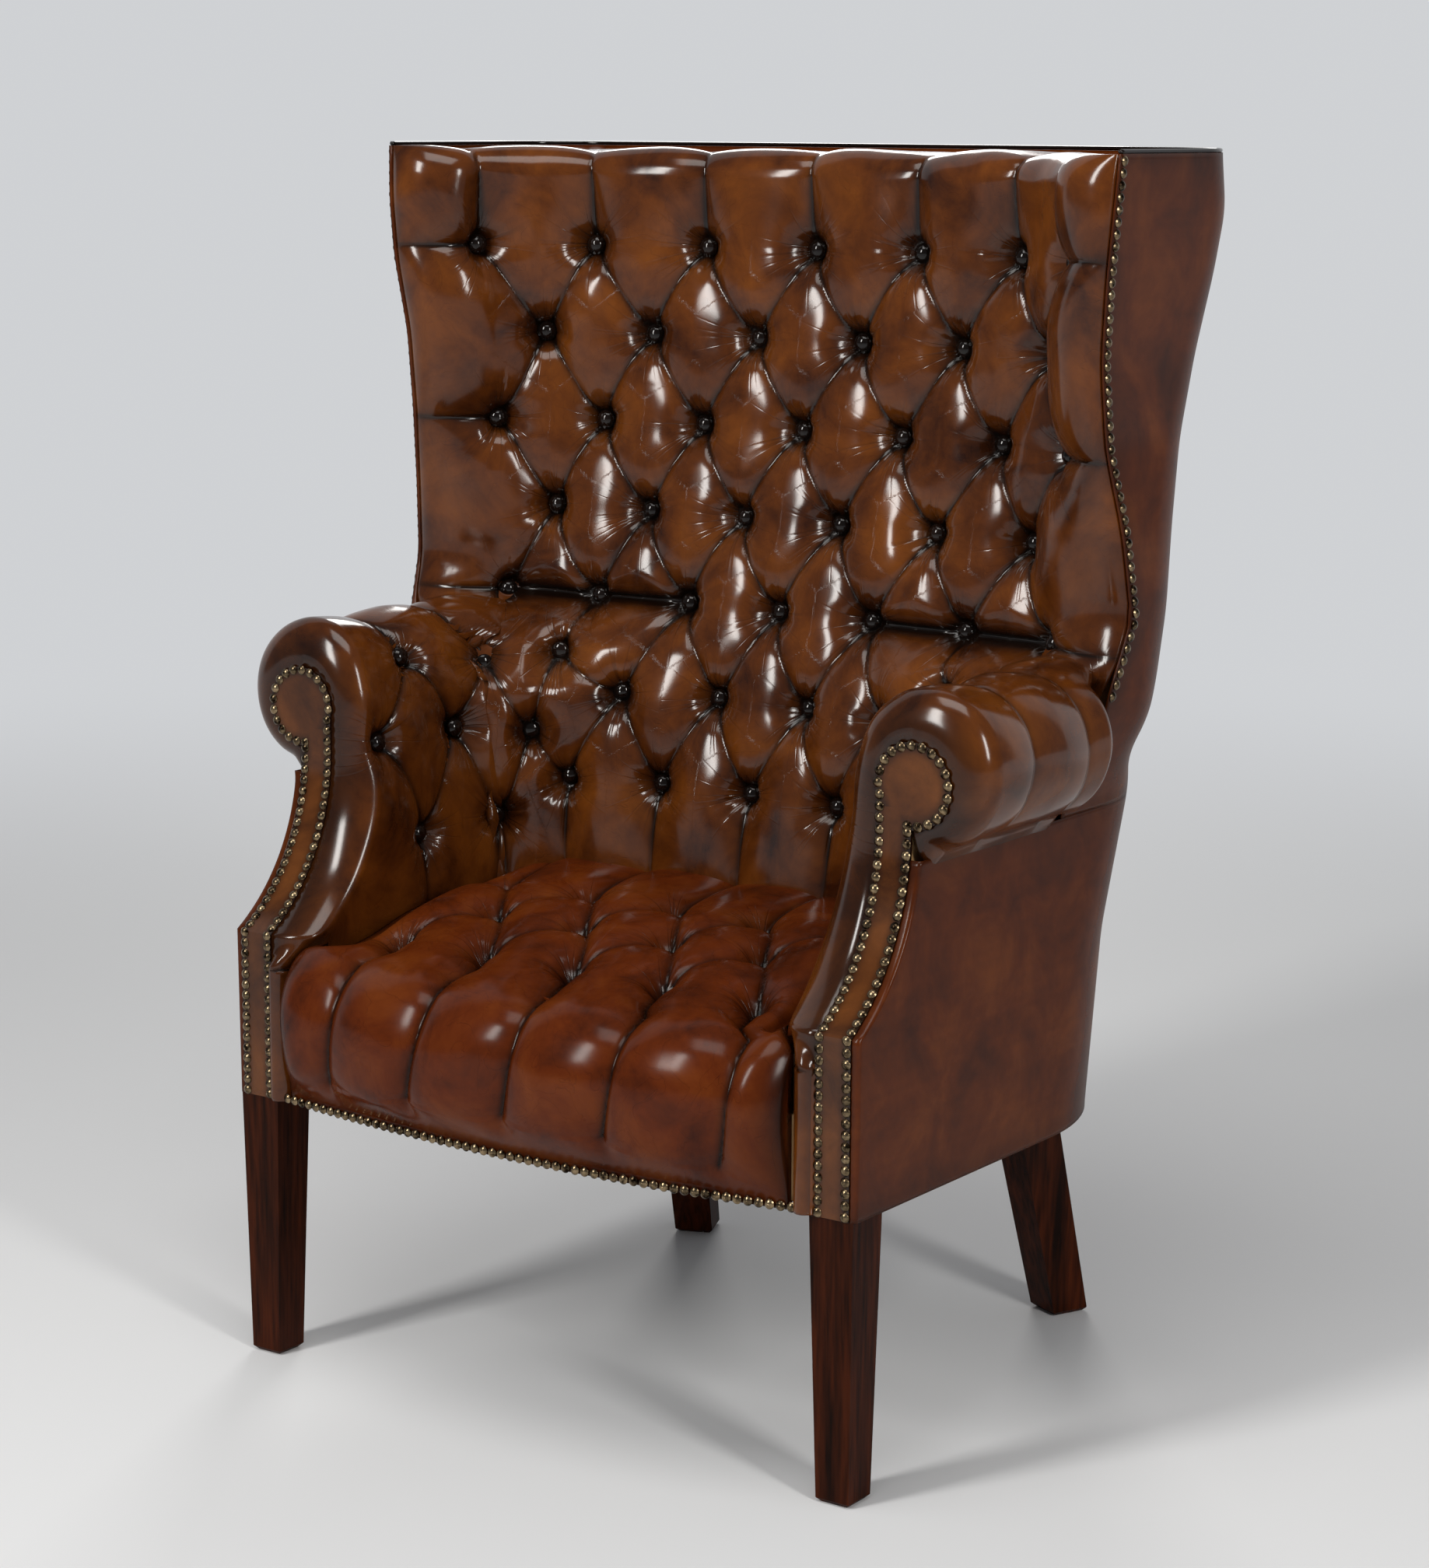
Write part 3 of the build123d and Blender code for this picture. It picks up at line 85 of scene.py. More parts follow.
def map_range(tree, value, start, end, at_start=0.0, at_end=1.0, kind="LINEAR"):
    """A value carried over from one range to another."""
    inputs = {"Value": value, "From Min": start, "From Max": end}
    inputs |= {"To Min": at_start, "To Max": at_end}
    return add_node(tree, "ShaderNodeMapRange", inputs, interpolation_type=kind).outputs[0]


def object_place(tree):
    """Object coordinates."""
    return add_node(tree, "ShaderNodeTexCoord").outputs["Object"]


def scaled(tree, place, scale):
    """Coordinates multiplied by a scale for each axis."""
    return add_node(tree, "ShaderNodeMapping", {"Vector": place, "Scale": scale}).outputs[0]


def noise(tree, place, scale, detail, **more):
    """The grey value of a noise texture."""
    inputs = {"Vector": place, "Scale": scale, "Detail": detail} | more
    return add_node(tree, "ShaderNodeTexNoise", inputs).outputs[0]


def field(tree, name, output="Fac"):
    """An attribute of the mesh."""
    return add_node(tree, "ShaderNodeAttribute", attribute_name=name).outputs[output]


def mix_colours(tree, share, first, second):
    """A colour between two; each is a hex code or a socket."""
    first, second = (linear(end) if isinstance(end, str) else end for end in (first, second))
    inputs = {0: share, 6: first, 7: second}
    return add_node(tree, "ShaderNodeMix", inputs, data_type="RGBA").outputs[2]


def ramp(tree, value, low, high, middle=None):
    """The colour at a value between two or three stops of (position, hex code)."""
    node = add_node(tree, "ShaderNodeValToRGB", {0: value})
    stops = node.color_ramp.elements
    for number, (position, code) in enumerate((low, high)):
        stops[number].position = position
        stops[number].color = linear(code)
    if middle:
        stops.new(middle[0]).color = linear(middle[1])
    return node.outputs[0]


def bumped(tree, height, strength, distance, normal=None):
    """The normal, bumped by a height; the distance is in metres."""
    inputs = {"Height": height, "Strength": strength, "Distance": distance}
    if normal is not None:
        inputs["Normal"] = normal
    return add_node(tree, "ShaderNodeBump", inputs).outputs[0]


def new_material(name):
    """An empty material with its output and its tree."""
    material = bpy.data.materials.new(name)
    material.use_nodes = True
    tree = material.node_tree
    tree.nodes.clear()
    output = add_node(tree, "ShaderNodeOutputMaterial")
    return material, tree, output


def shade(tree, output, inputs):
    """Ends a material in one surface shader."""
    surface = add_node(tree, "ShaderNodeBsdfPrincipled", inputs)
    tree.links.new(surface.outputs[0], output.inputs[0])


# Floor and background. A pale matt floor keeps the chair's shadow and fades into a pale wall behind;
# both show the same colour to the eye and in reflections. The rest of the room is a soft grey.
def pale_plane(name, fade=None, **placing):
    """A plane of the stage; a fade gives where lit ends and plain colour starts, in metres."""
    bpy.ops.mesh.primitive_plane_add(**placing)
    plane = bpy.context.object
    plane.name = name
    material, tree, output = new_material("pale_" + name)
    path = add_node(tree, "ShaderNodeLightPath").outputs
    share = calc(tree, "MAXIMUM", path["Is Camera Ray"], path["Is Transmission Ray"])
    share = calc(tree, "MAXIMUM", share, path["Is Glossy Ray"])
    if fade:
        inputs = {0: object_place(tree)}
        distance = add_node(tree, "ShaderNodeVectorMath", inputs, operation="LENGTH")
        away = map_range(tree, distance.outputs["Value"], *fade, kind="SMOOTHERSTEP")
        share = calc(tree, "MULTIPLY", away, share)
    inputs = {"Base Color": linear("#E6E7E9"), "Roughness": 0.8}
    matt = add_node(tree, "ShaderNodeBsdfPrincipled", inputs).outputs[0]
    inputs = {"Color": linear("#DFE1E4"), "Strength": 0.85}
    plain = add_node(tree, "ShaderNodeEmission", inputs).outputs[0]
    mixed = add_node(tree, "ShaderNodeMixShader", {0: share, 1: matt, 2: plain}).outputs[0]
    tree.links.new(mixed, output.inputs[0])
    plane.data.materials.append(material)


pale_plane("floor", (1.2, 4.5), size=60, location=(0, 0, 0))
pale_plane("wall", size=40, location=(-5.2, 7.3, 0), rotation=(math.pi / 2, 0, camera_turn))

world = bpy.data.worlds.new("studio")
world.use_nodes = True
bpy.context.scene.world = world
tree = world.node_tree
tree.nodes.clear()
plain = add_node(tree, "ShaderNodeBackground", {"Color": linear("#E4E7EC"), "Strength": 0.2})
output = add_node(tree, "ShaderNodeOutputWorld", {"Surface": plain.outputs[0]})
bpy.context.scene.view_settings.view_transform = "Standard"


# Lamps: soft boxes, a tall one at the left of the camera, one at the right, one overhead and one
# behind for the back.
def soft_box(name, place, target, wide, tall, power):
    """A soft box of metres and watts, turned to its target."""
    lamp = bpy.data.lights.new(name, "AREA")
    lamp.shape = "RECTANGLE"
    lamp.size = wide
    lamp.size_y = tall
    lamp.energy = power
    lamp.color = linear("#FFFDF9")[:3]
    box = bpy.data.objects.new(name, lamp)
    box.location = place
    box.rotation_euler = (Vector(target) - Vector(place)).to_track_quat("-Z", "Y").to_euler()
    bpy.context.scene.collection.objects.link(box)


soft_box("key_lamp", (-0.9, -3.2, 2.6), (0, 0, 0.7), 0.6, 1.6, 76)
soft_box("side_lamp", (3.2, -1.4, 2.1), (0, 0, 0.7), 0.45, 1.5, 50)
soft_box("top_lamp", (0.3, -0.9, 3.4), (0, 0, 0.6), 1.7, 1.3, 32)
soft_box("rear_lamp", (-2.2, 3.2, 2.6), (0, 0, 0.6), 1.2, 1.2, 40)


# Inner frame. Beech rails, posts and boards, jute webbing, hessian, horsehair and steel springs lie
# under the leather and keep the exact forms of the frame; each gets its own plain material.
def tinted(name, dark, light, scale, stretch, roughness):
    """A matt material with a stretched two-colour grain."""
    material, tree, output = new_material(name)
    place = scaled(tree, object_place(tree), stretch)
    grain = noise(tree, place, scale, 6.0, Roughness=0.6)
    colour = mix_colours(tree, grain, dark, light)
    normal = bumped(tree, grain, 0.3, 0.0006)
    shade(tree, output, {"Base Color": colour, "Roughness": roughness, "Normal": normal})
    return material


def dress(material, *names):
    """Gives a material to kept parts of the frame."""
    for name in names:
        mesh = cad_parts[name].data
        mesh.materials.clear()
        mesh.materials.append(material)


sides = ("left", "right")
even_grain = (1, 1, 1)
beech = tinted("pale_beech", "#A87C4C", "#C79F6D", 22, (1, 1, 0.12), 0.62)
webbing = tinted("woven_jute", "#8A6A42", "#B69566", 420, even_grain, 0.9)
hessian = tinted("hessian", "#97784E", "#C2A477", 600, even_grain, 0.95)
horsehair = tinted("curled_horsehair", "#2B2119", "#574433", 260, even_grain, 0.9)
steel = tinted("oiled_spring_steel", "#4A4B4D", "#77797C", 90, even_grain, 0.4)
dress(beech, "back_rail", "front_rail", "top_rail", "back_tacking_rail", "corner_blocks")
for side in sides:
    for name in ("side_rail_", "back_upright_", "side_tacking_rail_", "arm_front_", "arm_rail_"):
        dress(beech, name + side)
    dress(beech, "wing_post_" + side, "wing_top_rail_" + side)
dress(webbing, "seat_webbing", "back_webbing")
dress(hessian, "spring_canvas", "back_hessian")
dress(horsehair, "seat_stuffing", "back_stuffing")
dress(steel, "seat_springs")

# Legs. Dark polished mahogany, square and tapered in front and raked at the back. The frame's own
# legs are kept and given the wood.
mahogany, tree, output = new_material("polished_mahogany")
long_grain = scaled(tree, object_place(tree), (1, 1, 0.07))
fibre = noise(tree, long_grain, 210.0, 5.0)
figure = noise(tree, long_grain, 38.0, 3.0)
grain = calc(tree, "MULTIPLY", fibre, figure)
wood = {
    "Base Color": ramp(tree, grain, (0.12, "#150804"), (0.42, "#4C200C")),
    "Roughness": 0.45,
    "Specular IOR Level": 0.0,
    "Normal": bumped(tree, fibre, 0.15, 0.0004),
    "Coat Weight": 0.3,
    "Coat IOR": 1.3,
    "Coat Roughness": 0.2,
}
shade(tree, output, wood)
for side in sides:
    dress(mahogany, "front_leg_" + side, "rear_leg_" + side)


# Leather. Hand-dyed brown hide, polished where it is touched and nearly black in the folds: a mottled
# dye, a dark mix by an attribute that is patina in the folds and painted shade in the folds, along the
# pleats and at the joins, a fine pebble grain and a wax coat on top.
def leather(name, dark, middle, light, roughness, coat, coat_roughness, wrinkles=1.0, rim=None):
    """A hide of three dye tones; a rim function takes the place of the attribute of patina and painted
    shade.
    """
    material, tree, output = new_material(name)
    place = object_place(tree)
    cloud = noise(tree, place, 13.0, 7.0, Roughness=0.62, Distortion=0.4)
    dye = ramp(tree, cloud, (0.3, dark), (0.72, light), (0.5, middle))
    # The attribute mixes the dye towards near black: patina in the hollows and painted shade in the
    # folds, pleats and joins.
    patina_and_shade = field(tree, "patina_and_shade")
    dye_patina_and_shade = mix_colours(tree, rim(tree, place) if rim else patina_and_shade, dye, "#0E0603")

    # Fine creases that run out from a tuft, by the direction from it.
    stretched = scaled(tree, field(tree, "gather", "Vector"), (2.6, 2.6, 7.0))
    near = calc(tree, "SUBTRACT", noise(tree, stretched, 1.0, 1.5), 0.5)
    near = calc(tree, "ABSOLUTE", near)
    line = map_range(tree, near, 0.0, 0.035, 1.0, 0.0, "SMOOTHSTEP")
    crease = calc(tree, "MULTIPLY", line, field(tree, "pull"))
    # The creases are also darkened in colour: partly dirt in them, partly painted shade.
    crease_dirt_and_shade = mix_colours(tree, calc(tree, "MULTIPLY", crease, 0.55), dye_patina_and_shade, "#120703")

    # Hairline wear wrinkles, thin lines where a broad noise crosses its middle.
    wander = noise(tree, place, 24.0, 3.0, Distortion=1.2)
    across = calc(tree, "ABSOLUTE", calc(tree, "SUBTRACT", wander, 0.5))
    hair = map_range(tree, across, 0.0, 0.006, 0.5 * wrinkles, 0.0)

    # The wax coat takes only the creases; the hide below takes the wrinkles and the grain too.
    inputs = {"Vector": place, "Scale": 780.0}
    pebble = add_node(tree, "ShaderNodeTexVoronoi", inputs, feature="SMOOTH_F1").outputs[0]
    depth = calc(tree, "SUBTRACT", 1.0, calc(tree, "ADD", crease, hair))
    creases = bumped(tree, depth, 0.6, 0.001)
    rough = calc(tree, "MULTIPLY_ADD", cloud, 0.22, roughness - 0.11)
    looks = {
        "Base Color": crease_dirt_and_shade,
        "Roughness": calc(tree, "MULTIPLY_ADD", patina_and_shade, 0.25, rough),
        "Normal": bumped(tree, pebble, 0.12, 0.0003, creases),
        "Specular IOR Level": 0.0,
        "Coat Weight": coat,
        "Coat Roughness": coat_roughness,
        "Coat IOR": 1.42,
        "Coat Normal": bumped(tree, calc(tree, "SUBTRACT", 1.0, crease), 0.3, 0.001),
    }
    shade(tree, output, looks)
    return material


hide = leather("polished_brown_leather", "#2A1005", "#552A0B", "#703C10", 0.5, 1.0, 0.15)
seat_hide = leather("worn_seat_leather", "#311207", "#572309", "#6B3310", 0.55, 0.4, 0.2, 1.6)
outside_hide = leather("outside_leather", "#3C1A0B", "#56260C", "#6A3512", 0.5, 0.4, 0.2, 0.4)
black = ("#0A0504", "#100805", "#1A0D07")
button_hide = leather("black_button_leather", *black, 0.3, 0.9, 0.08, 0.0)


# Shapes shared by the leather pieces: the plans of the body, all in millimetres. A plan has straight
# sides, round corners and one long arc across the back, and changes smoothly with the height. The
# tables give shares of these sizes, first the height and then the plan's values.
full_height = 1150
half_width = 412
half_depth = 308
top_edge = 1146
body_foot = 258
wing_foot = 556
body_rows = np.array([
    (0.2243, 0.854, 0.192, 0.747, 0.981),
    (0.3739, 0.859, 0.273, 0.698, 0.990),
    (0.4852, 0.862, 0.455, 0.513, 1.0),
    (0.5217, 0.917, 0.328, 0.487, 1.0),
    (0.5565, 0.961, 0.357, 0.422, 1.0),
    (0.5843, 0.983, 0.347, 0.390, 1.0),
    (0.6435, 1.002, 0.360, 0.357, 1.0),
    (0.7087, 0.988, 0.419, 0.341, 1.0),
    (0.7739, 0.964, 0.516, 0.325, 1.0),
    (0.8391, 0.961, 0.607, 0.308, 1.0),
    (0.9043, 0.981, 0.666, 0.292, 1.0),
    (0.9522, 0.993, 0.700, 0.270, 1.006),
    (1.0, 1.0, 0.649, 0.286, 1.0),
])
wing_front_rows = np.array([
    (0.5217, 0.182), (0.5565, 0.182), (0.5843, 0.169), (0.6435, 0.250), (0.7087, 0.221),
    (0.7739, 0.169), (0.8391, 0.140), (0.9043, 0.110), (0.9522, 0.110), (1.0, 0.123),
])
inner_back_rows = np.array([
    (0.3565, 0.240), (0.4643, 0.266), (0.5391, 0.338), (0.6139, 0.416), (0.6887, 0.484),
    (0.7635, 0.539), (0.8383, 0.578), (0.9130, 0.607), (1.0, 0.633),
])
opening_rows = np.array([(0.3, 0), (0.5391, 0.03), (0.5765, 0.30), (0.6139, 1), (1, 1)])


def smooth_row(rows, column, level, window=14):
    """A table's value at a height, its corners rounded."""
    steps = np.linspace(-window, window, 7)
    return float(np.mean(np.interp((level + steps) / full_height, rows[:, 0], rows[:, column])))


def plan(half, side_end, corner, back):
    """An outline as (half width, side end, corner radius, back, corner centre, back radius, turn)."""
    across = half - corner
    deep = back - side_end
    room = deep - corner
    radius = (across**2 + deep**2 - corner**2) / (2 * room)
    return half, side_end, corner, back, across, radius, math.asin(across / (radius - corner))


def body_plan(level):
    """Plan of the outside at a height."""
    values = [smooth_row(body_rows, column, level) for column in (1, 2, 3, 4)]
    return plan(values[0] * half_width, *(value * half_depth for value in values[1:]))


def wing_front(level):
    """How far forward the wing reaches at a height."""
    return smooth_row(wing_front_rows, 1, level) * half_depth


def inner_plan(level):
    """Plan of the inside's button plane: it opens from the arms' width to the wings' width."""
    back = smooth_row(inner_back_rows, 1, level, 10) * half_depth
    share = smooth_row(opening_rows, 1, level, 6)
    corner = min(118, (back - 40) * 0.9)
    return plan(285 + 65 * share, -50 + 90 * share, 114 + (corner - 114) * share, back)


def run_at(outline, y, offset=0):
    """Run from the middle of the back at which the side of an offset outline reaches a y."""
    _, side_end, corner, _, _, radius, turn = outline
    if y <= side_end:
        return radius * turn + corner * (math.pi / 2 - turn) + side_end - y
    angle = math.acos(min(1, (y - side_end) / (corner + offset)))
    return radius * turn + corner * (angle - turn)


def place_at(outline, run):
    """Points of an outline at runs from the middle of the back, and the outward normals."""
    half, side_end, corner, back, across, radius, turn = outline
    way = np.abs(run)
    start = radius * turn
    end = start + corner * (math.pi / 2 - turn)
    angle = np.where(way <= start, way / radius, turn + (way - start) / corner)
    angle = np.minimum(angle, math.pi / 2)
    x = np.where(way <= start, radius * np.sin(angle), across + corner * np.sin(angle))
    y = np.where(way <= start, back - radius + radius * np.cos(angle), side_end + corner * np.cos(angle))
    x = np.where(way > end, half, x)
    y = np.where(way > end, side_end - (way - end), y)
    sign = np.where(run < 0, -1.0, 1.0)
    return np.stack([x * sign, y], -1), np.stack([np.sin(angle) * sign, np.cos(angle)], -1)


def rise(value, start, end):
    """0 at the start, 1 at the end, straight between them and level outside."""
    return np.clip((value - start) / (end - start), 0, 1)


def eased(share):
    """A share that sets off and arrives softly."""
    return share * share * (3 - 2 * share)


def bezier(p0, p1, p2, p3, t):
    """A point of a cubic curve."""
    return p0 * (1 - t) ** 3 + 3 * p1 * t * (1 - t) ** 2 + 3 * p2 * t**2 * (1 - t) + p3 * t**3


def through(knots, count):
    """A smooth curve through knots, with a count of points from each knot to the next."""
    curve = []
    t = np.linspace(0, 1, count, endpoint=False)[:, None]
    for number in range(len(knots) - 1):
        p0 = knots[max(number - 1, 0)]
        p1, p2 = knots[number], knots[number + 1]
        p3 = knots[min(number + 2, len(knots) - 1)]
        bent = (2 * p0 - 5 * p1 + 4 * p2 - p3) * t**2 + (3 * p1 - p0 - 3 * p2 + p3) * t**3
        curve.append(0.5 * (2 * p1 + (p2 - p0) * t + bent))
    return np.vstack(curve)


def evenly(curve, count):
    """A curve's points at even steps, the normals at them and their way along it."""
    length = np.concatenate([[0], np.cumsum(np.linalg.norm(np.diff(curve, axis=0), axis=1))])
    even = np.linspace(0, length[-1], count)
    points = np.stack([np.interp(even, length, curve[:, 0]), np.interp(even, length, curve[:, 1])], -1)
    slope = np.gradient(points, axis=0)
    slope /= np.linalg.norm(slope, axis=1)[:, None]
    return points, np.stack([-slope[:, 1], slope[:, 0]], -1), even


def nearest_place(first, second):
    """Row and column of the grid point at which two differences are smallest."""
    miss = first**2 + second**2
    return np.unravel_index(int(np.argmin(miss)), miss.shape)


def smooth_piece(name, points, faces, finish):
    """A smooth closed mesh of millimetre points that rides the chair's one body."""
    mesh = bpy.data.meshes.new(name)
    mesh.from_pydata((points / 1000).tolist(), [], faces)
    shape = bmesh.new()
    shape.from_mesh(mesh)
    bmesh.ops.recalc_face_normals(shape, faces=shape.faces)
    shape.to_mesh(mesh)
    shape.free()
    mesh.polygons.foreach_set("use_smooth", [True] * len(mesh.polygons))
    mesh.materials.append(finish)
    piece = bpy.data.objects.new(name, mesh)
    bpy.context.scene.collection.objects.link(piece)
    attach(piece, "root")
    return piece


def quads(index):
    """Quads over a grid of vertex numbers."""
    low = index[:-1, :-1].ravel()
    return np.stack([low, index[:-1, 1:].ravel(), index[1:, 1:].ravel(), index[1:, :-1].ravel()], -1)


def skin(name, front, back, finish, fields=None):
    """A closed form: a fine front grid, a coarse back grid and the strip between their edges.

    Fields are the front's attributes.
    """
    step = 4
    rows, columns = front.shape[:2]
    coarse = back[::step, ::step]
    fine_index = np.arange(rows * columns).reshape(rows, columns)
    coarse_index = np.arange(coarse.shape[0] * coarse.shape[1]).reshape(coarse.shape[:2])
    coarse_index += rows * columns
    faces = [tuple(face) for face in quads(fine_index)]
    faces += [tuple(face[::-1]) for face in quads(coarse_index)]

    def ring(index):
        return np.concatenate([index[0, :-1], index[:-1, -1], index[-1, :0:-1], index[:0:-1, 0]])

    outer = ring(fine_index)
    inner = ring(coarse_index)
    outer = np.append(outer, outer[0])
    inner = np.append(inner, inner[0])
    for number in range(len(inner) - 1):
        a, b = inner[number], inner[number + 1]
        edge = outer[number * step : number * step + step + 1]
        half = step // 2
        for place in range(step):
            tip = a if place < half else b
            faces.append((edge[place + 1], edge[place], tip))
        faces.append((edge[half], a, b))
    points = np.concatenate([front.reshape(-1, 3), coarse.reshape(-1, 3)])
    piece = smooth_piece(name, points, faces, finish)
    for field, values in (fields or {}).items():
        kind = "FLOAT_VECTOR" if values.ndim == 3 else "FLOAT"
        attribute = piece.data.attributes.new(field, kind, "POINT")
        size = (len(points), 3) if values.ndim == 3 else (len(points),)
        full = np.zeros(size, np.float32)
        full[: rows * columns] = values.reshape((rows * columns,) + size[1:])
        attribute.data.foreach_set("vector" if values.ndim == 3 else "value", full.ravel())
    piece.data.update()
    return piece


# Tufting. The leather is drawn in at every tuft, and a pleat runs from each tuft to the next ones;
# between the pleats it swells over the hair. A pleat is (start, end, depths, width, bow).
def draw_in(across, along, tufts, pleats, full, seed):
    """How far the leather lies below the crowns, with the fields that the leather's look needs."""
    random = np.random.default_rng(seed)
    total = np.zeros_like(across)
    line = np.zeros_like(across)
    for (x0, z0), (x1, z1), (deep0, middle, deep1), width, bow in pleats:
        dx, dz = x1 - x0, z1 - z0
        length = math.hypot(dx, dz)
        part = np.clip(((across - x0) * dx + (along - z0) * dz) / length**2, 0, 1)
        away = ((along - z0) * dx - (across - x0) * dz) / length
        away = away - (bow + random.uniform(-2.5, 2.5)) * 4 * part * (1 - part)
        past = np.hypot(across - (x0 + dx * part), along - (z0 + dz * part))
        past = np.where((part > 0) & (part < 1), 0, past)
        distance = np.hypot(away, past)
        sag = (deep0 + deep1) / 2 - middle
        deep = deep0 * (1 - part) + deep1 * part - sag * 4 * part * (1 - part)
        spread = np.minimum(distance / width, 1)
        total += (deep * (1 - (1 - (1 - spread) ** 2) ** 0.62)) ** 4
        # A dark band along each pleat's crease line is painted shade; it is wider along the long deep
        # pleat, where the back's cover overhangs the arms.
        shade_band_width = 2.6 if middle < 15 else 8.0  # the long deep pleat over the arms reads wider
        line = np.maximum(line, np.exp(-((distance / shade_band_width) ** 1.4)) * np.clip(deep / 12, 0, 1))
    nearest = np.full_like(across, 1e9)
    way = np.zeros(across.shape + (3,))
    ripple = np.zeros_like(across)
    for number, (x0, z0, radius) in enumerate(tufts):
        dx, dz = across - x0, along - z0
        distance = np.hypot(dx, dz) + 1e-6
        total += (full * np.exp(-((np.maximum(distance - radius, 0) / 13) ** 1.15))) ** 4
        angle = np.arctan2(dz, dx)
        folds = np.zeros_like(across)
        for count in range(5, 15):
            folds += random.normal(0, 1) * np.cos(count * angle + random.uniform(0, 2 * math.pi))
        fade = np.exp(-(((distance - radius - 9) / 12) ** 2))
        ripple += folds / 3 * fade
        closer = distance < nearest
        nearest = np.where(closer, distance, nearest)
        direction = np.stack([dx / distance, dz / distance, np.full_like(dx, number * 0.37)], -1)
        way = np.where(closer[..., None], direction, way)
    sink = np.minimum(total**0.25, full)
    sink = sink + 0.9 * ripple * np.clip(1 - nearest / 60, 0, 1)
    swell = np.zeros_like(across)
    for size, strength in ((150, 0.8), (85, 0.35), (38, 0.06)):
        for turn in range(5):
            angle = random.uniform(0, math.pi)
            phase = random.uniform(0, 2 * math.pi)
            reach = (across * math.cos(angle) + along * math.sin(angle)) / size
            swell += strength * np.sin(2 * math.pi * reach + phase) / 2
    sink = sink + swell
    # The fields: dark in the folds and along the pleats, patina and painted shade, the direction from
    # the tuft, and how near the tuft is.
    patina_and_shade = np.clip((np.clip(sink / full, 0, 1) ** 1.5) * 0.85 + 0.85 * line, 0, 1)
    pull = np.clip(np.exp(-np.maximum(nearest - 12, 0) / 17), 0, 1)
    return sink, {"patina_and_shade": patina_and_shade, "gather": way, "pull": pull}


# The tufts of the inside: seven staggered rows down the back, and those that go on round the
# corners into the arms. Places are the run from the middle of the back and the height.
top_tufts = 1050
row_drop = 86
waist = 706
back_deep = 26
arm_deep = 22
seat_deep = 30


def pitch_at(level):
    """Distance between the tufts of a row, wider towards the top."""
    if level >= waist:
        return 107 + 17 * min(1, (level - waist) / (top_tufts - waist))
    return 100 + 7 * max(0, (level - 410) / (waist - 410))


inside_tufts = []
inside_pleats = []
for row in range(5):
    level = top_tufts - row_drop * row
    marks = np.arange(-3, 4) if row % 2 == 0 else np.arange(-2.5, 3)
    for mark in marks:
        inside_tufts.append((mark * pitch_at(level), level, 9))
        for below in (mark - 0.5, mark + 0.5):
            if row < 4 and abs(below) <= 3:
                end = (below * pitch_at(level - row_drop), level - row_drop)
                depths = (back_deep, 9, back_deep)
                inside_pleats.append(((mark * pitch_at(level), level), end, depths, 47, 0))
low_tufts = {
    "centre": (0, 534), "inner": (103, 534), "outer": (206, 530), "half": (52.5, 620),
    "wide": (157, 618), "middle": (0, waist), "high": (107, waist), "far": (214, waist),
    "a3": (231, 655), "a2": (307, 650), "a1": (416, 660), "b3": (248, 577), "b2": (330, 582),
    "b1": (442, 588), "c2": (280, 494), "c1": (378, 490),
}
low_links = (
    ("middle", "half"), ("high", "half"), ("high", "wide"), ("half", "centre"),
    ("half", "inner"), ("wide", "inner"), ("wide", "outer"), ("a3", "wide"), ("a3", "b3"),
    ("a2", "b3"), ("a2", "b2"), ("a1", "b2"), ("a1", "b1"), ("b3", "outer"), ("b3", "c2"),
    ("b2", "c2"), ("b2", "c1"), ("b1", "c1"), ("far", "a3"),
)
for side in (1, -1):
    for name, (run, level) in low_tufts.items():
        if level < waist and (run or side > 0):
            inside_tufts.append((side * run, level, 7))
    for first, second in low_links:
        start, end = low_tufts[first], low_tufts[second]
        deep = arm_deep if first[0] in "ab" and first[1].isdigit() else back_deep
        inside_pleats.append(
            ((side * start[0], start[1]), (side * end[0], end[1]), (deep, 8, deep), 44, 0)
        )
    for name in ("centre", "inner", "outer", "c2", "c1"):
        run, level = low_tufts[name]
        if run or side > 0:
            inside_pleats.append(((side * run, level), (side * run * 0.97, 380), (24, 8, 10), 46, 0))
    for mark in (0, 1, 2, 3):
        if mark or side > 0:
            start, end = (side * mark * 124, top_tufts), (side * mark * 134, 1240)
            inside_pleats.append((start, end, (back_deep, 8, 6), 60, 5 * side))
    for level, bow in ((top_tufts, 3), (top_tufts - 2 * row_drop, -3), (waist, 0)):
        run = 3 * pitch_at(level)
        end = (side * (run + 250), level + 2)
        inside_pleats.append(((side * run, level), end, (back_deep, 7, 3), 70, bow))
    for first, second, middle, width in ((107, 214, 24, 38), (214, 330, 26, 40)):
        depths = (back_deep, middle, back_deep)
        inside_pleats.append(((side * first, waist), (side * second, waist), depths, width, 0))


# Inside back and wings: one padded cover of brown hide over hair. It rolls round each wing's front
# to the nailed seam, over the top to the welt, and runs down behind the seat between the arms.
inside_columns = 176
nose_from = inside_columns + 1
nose_columns = 24
nose_share = np.linspace(0, 1, nose_columns + 1)[1:]
top_start = 1118
top_radius = 28
levels = list(np.linspace(398, top_start, 301))
turns = list(np.linspace(0, math.pi / 2, 18)[1:])
cap_shares = [(number / 19) ** 1.2 for number in range(1, 20)]
cap_from = len(levels) + len(turns)
row_count = cap_from + len(cap_shares)
half_count = inside_columns + nose_columns
contour = np.zeros((row_count, half_count + 1, 2))
facing_in = np.zeros_like(contour)
behind = np.zeros_like(contour)
runs = np.zeros((row_count, half_count + 1))
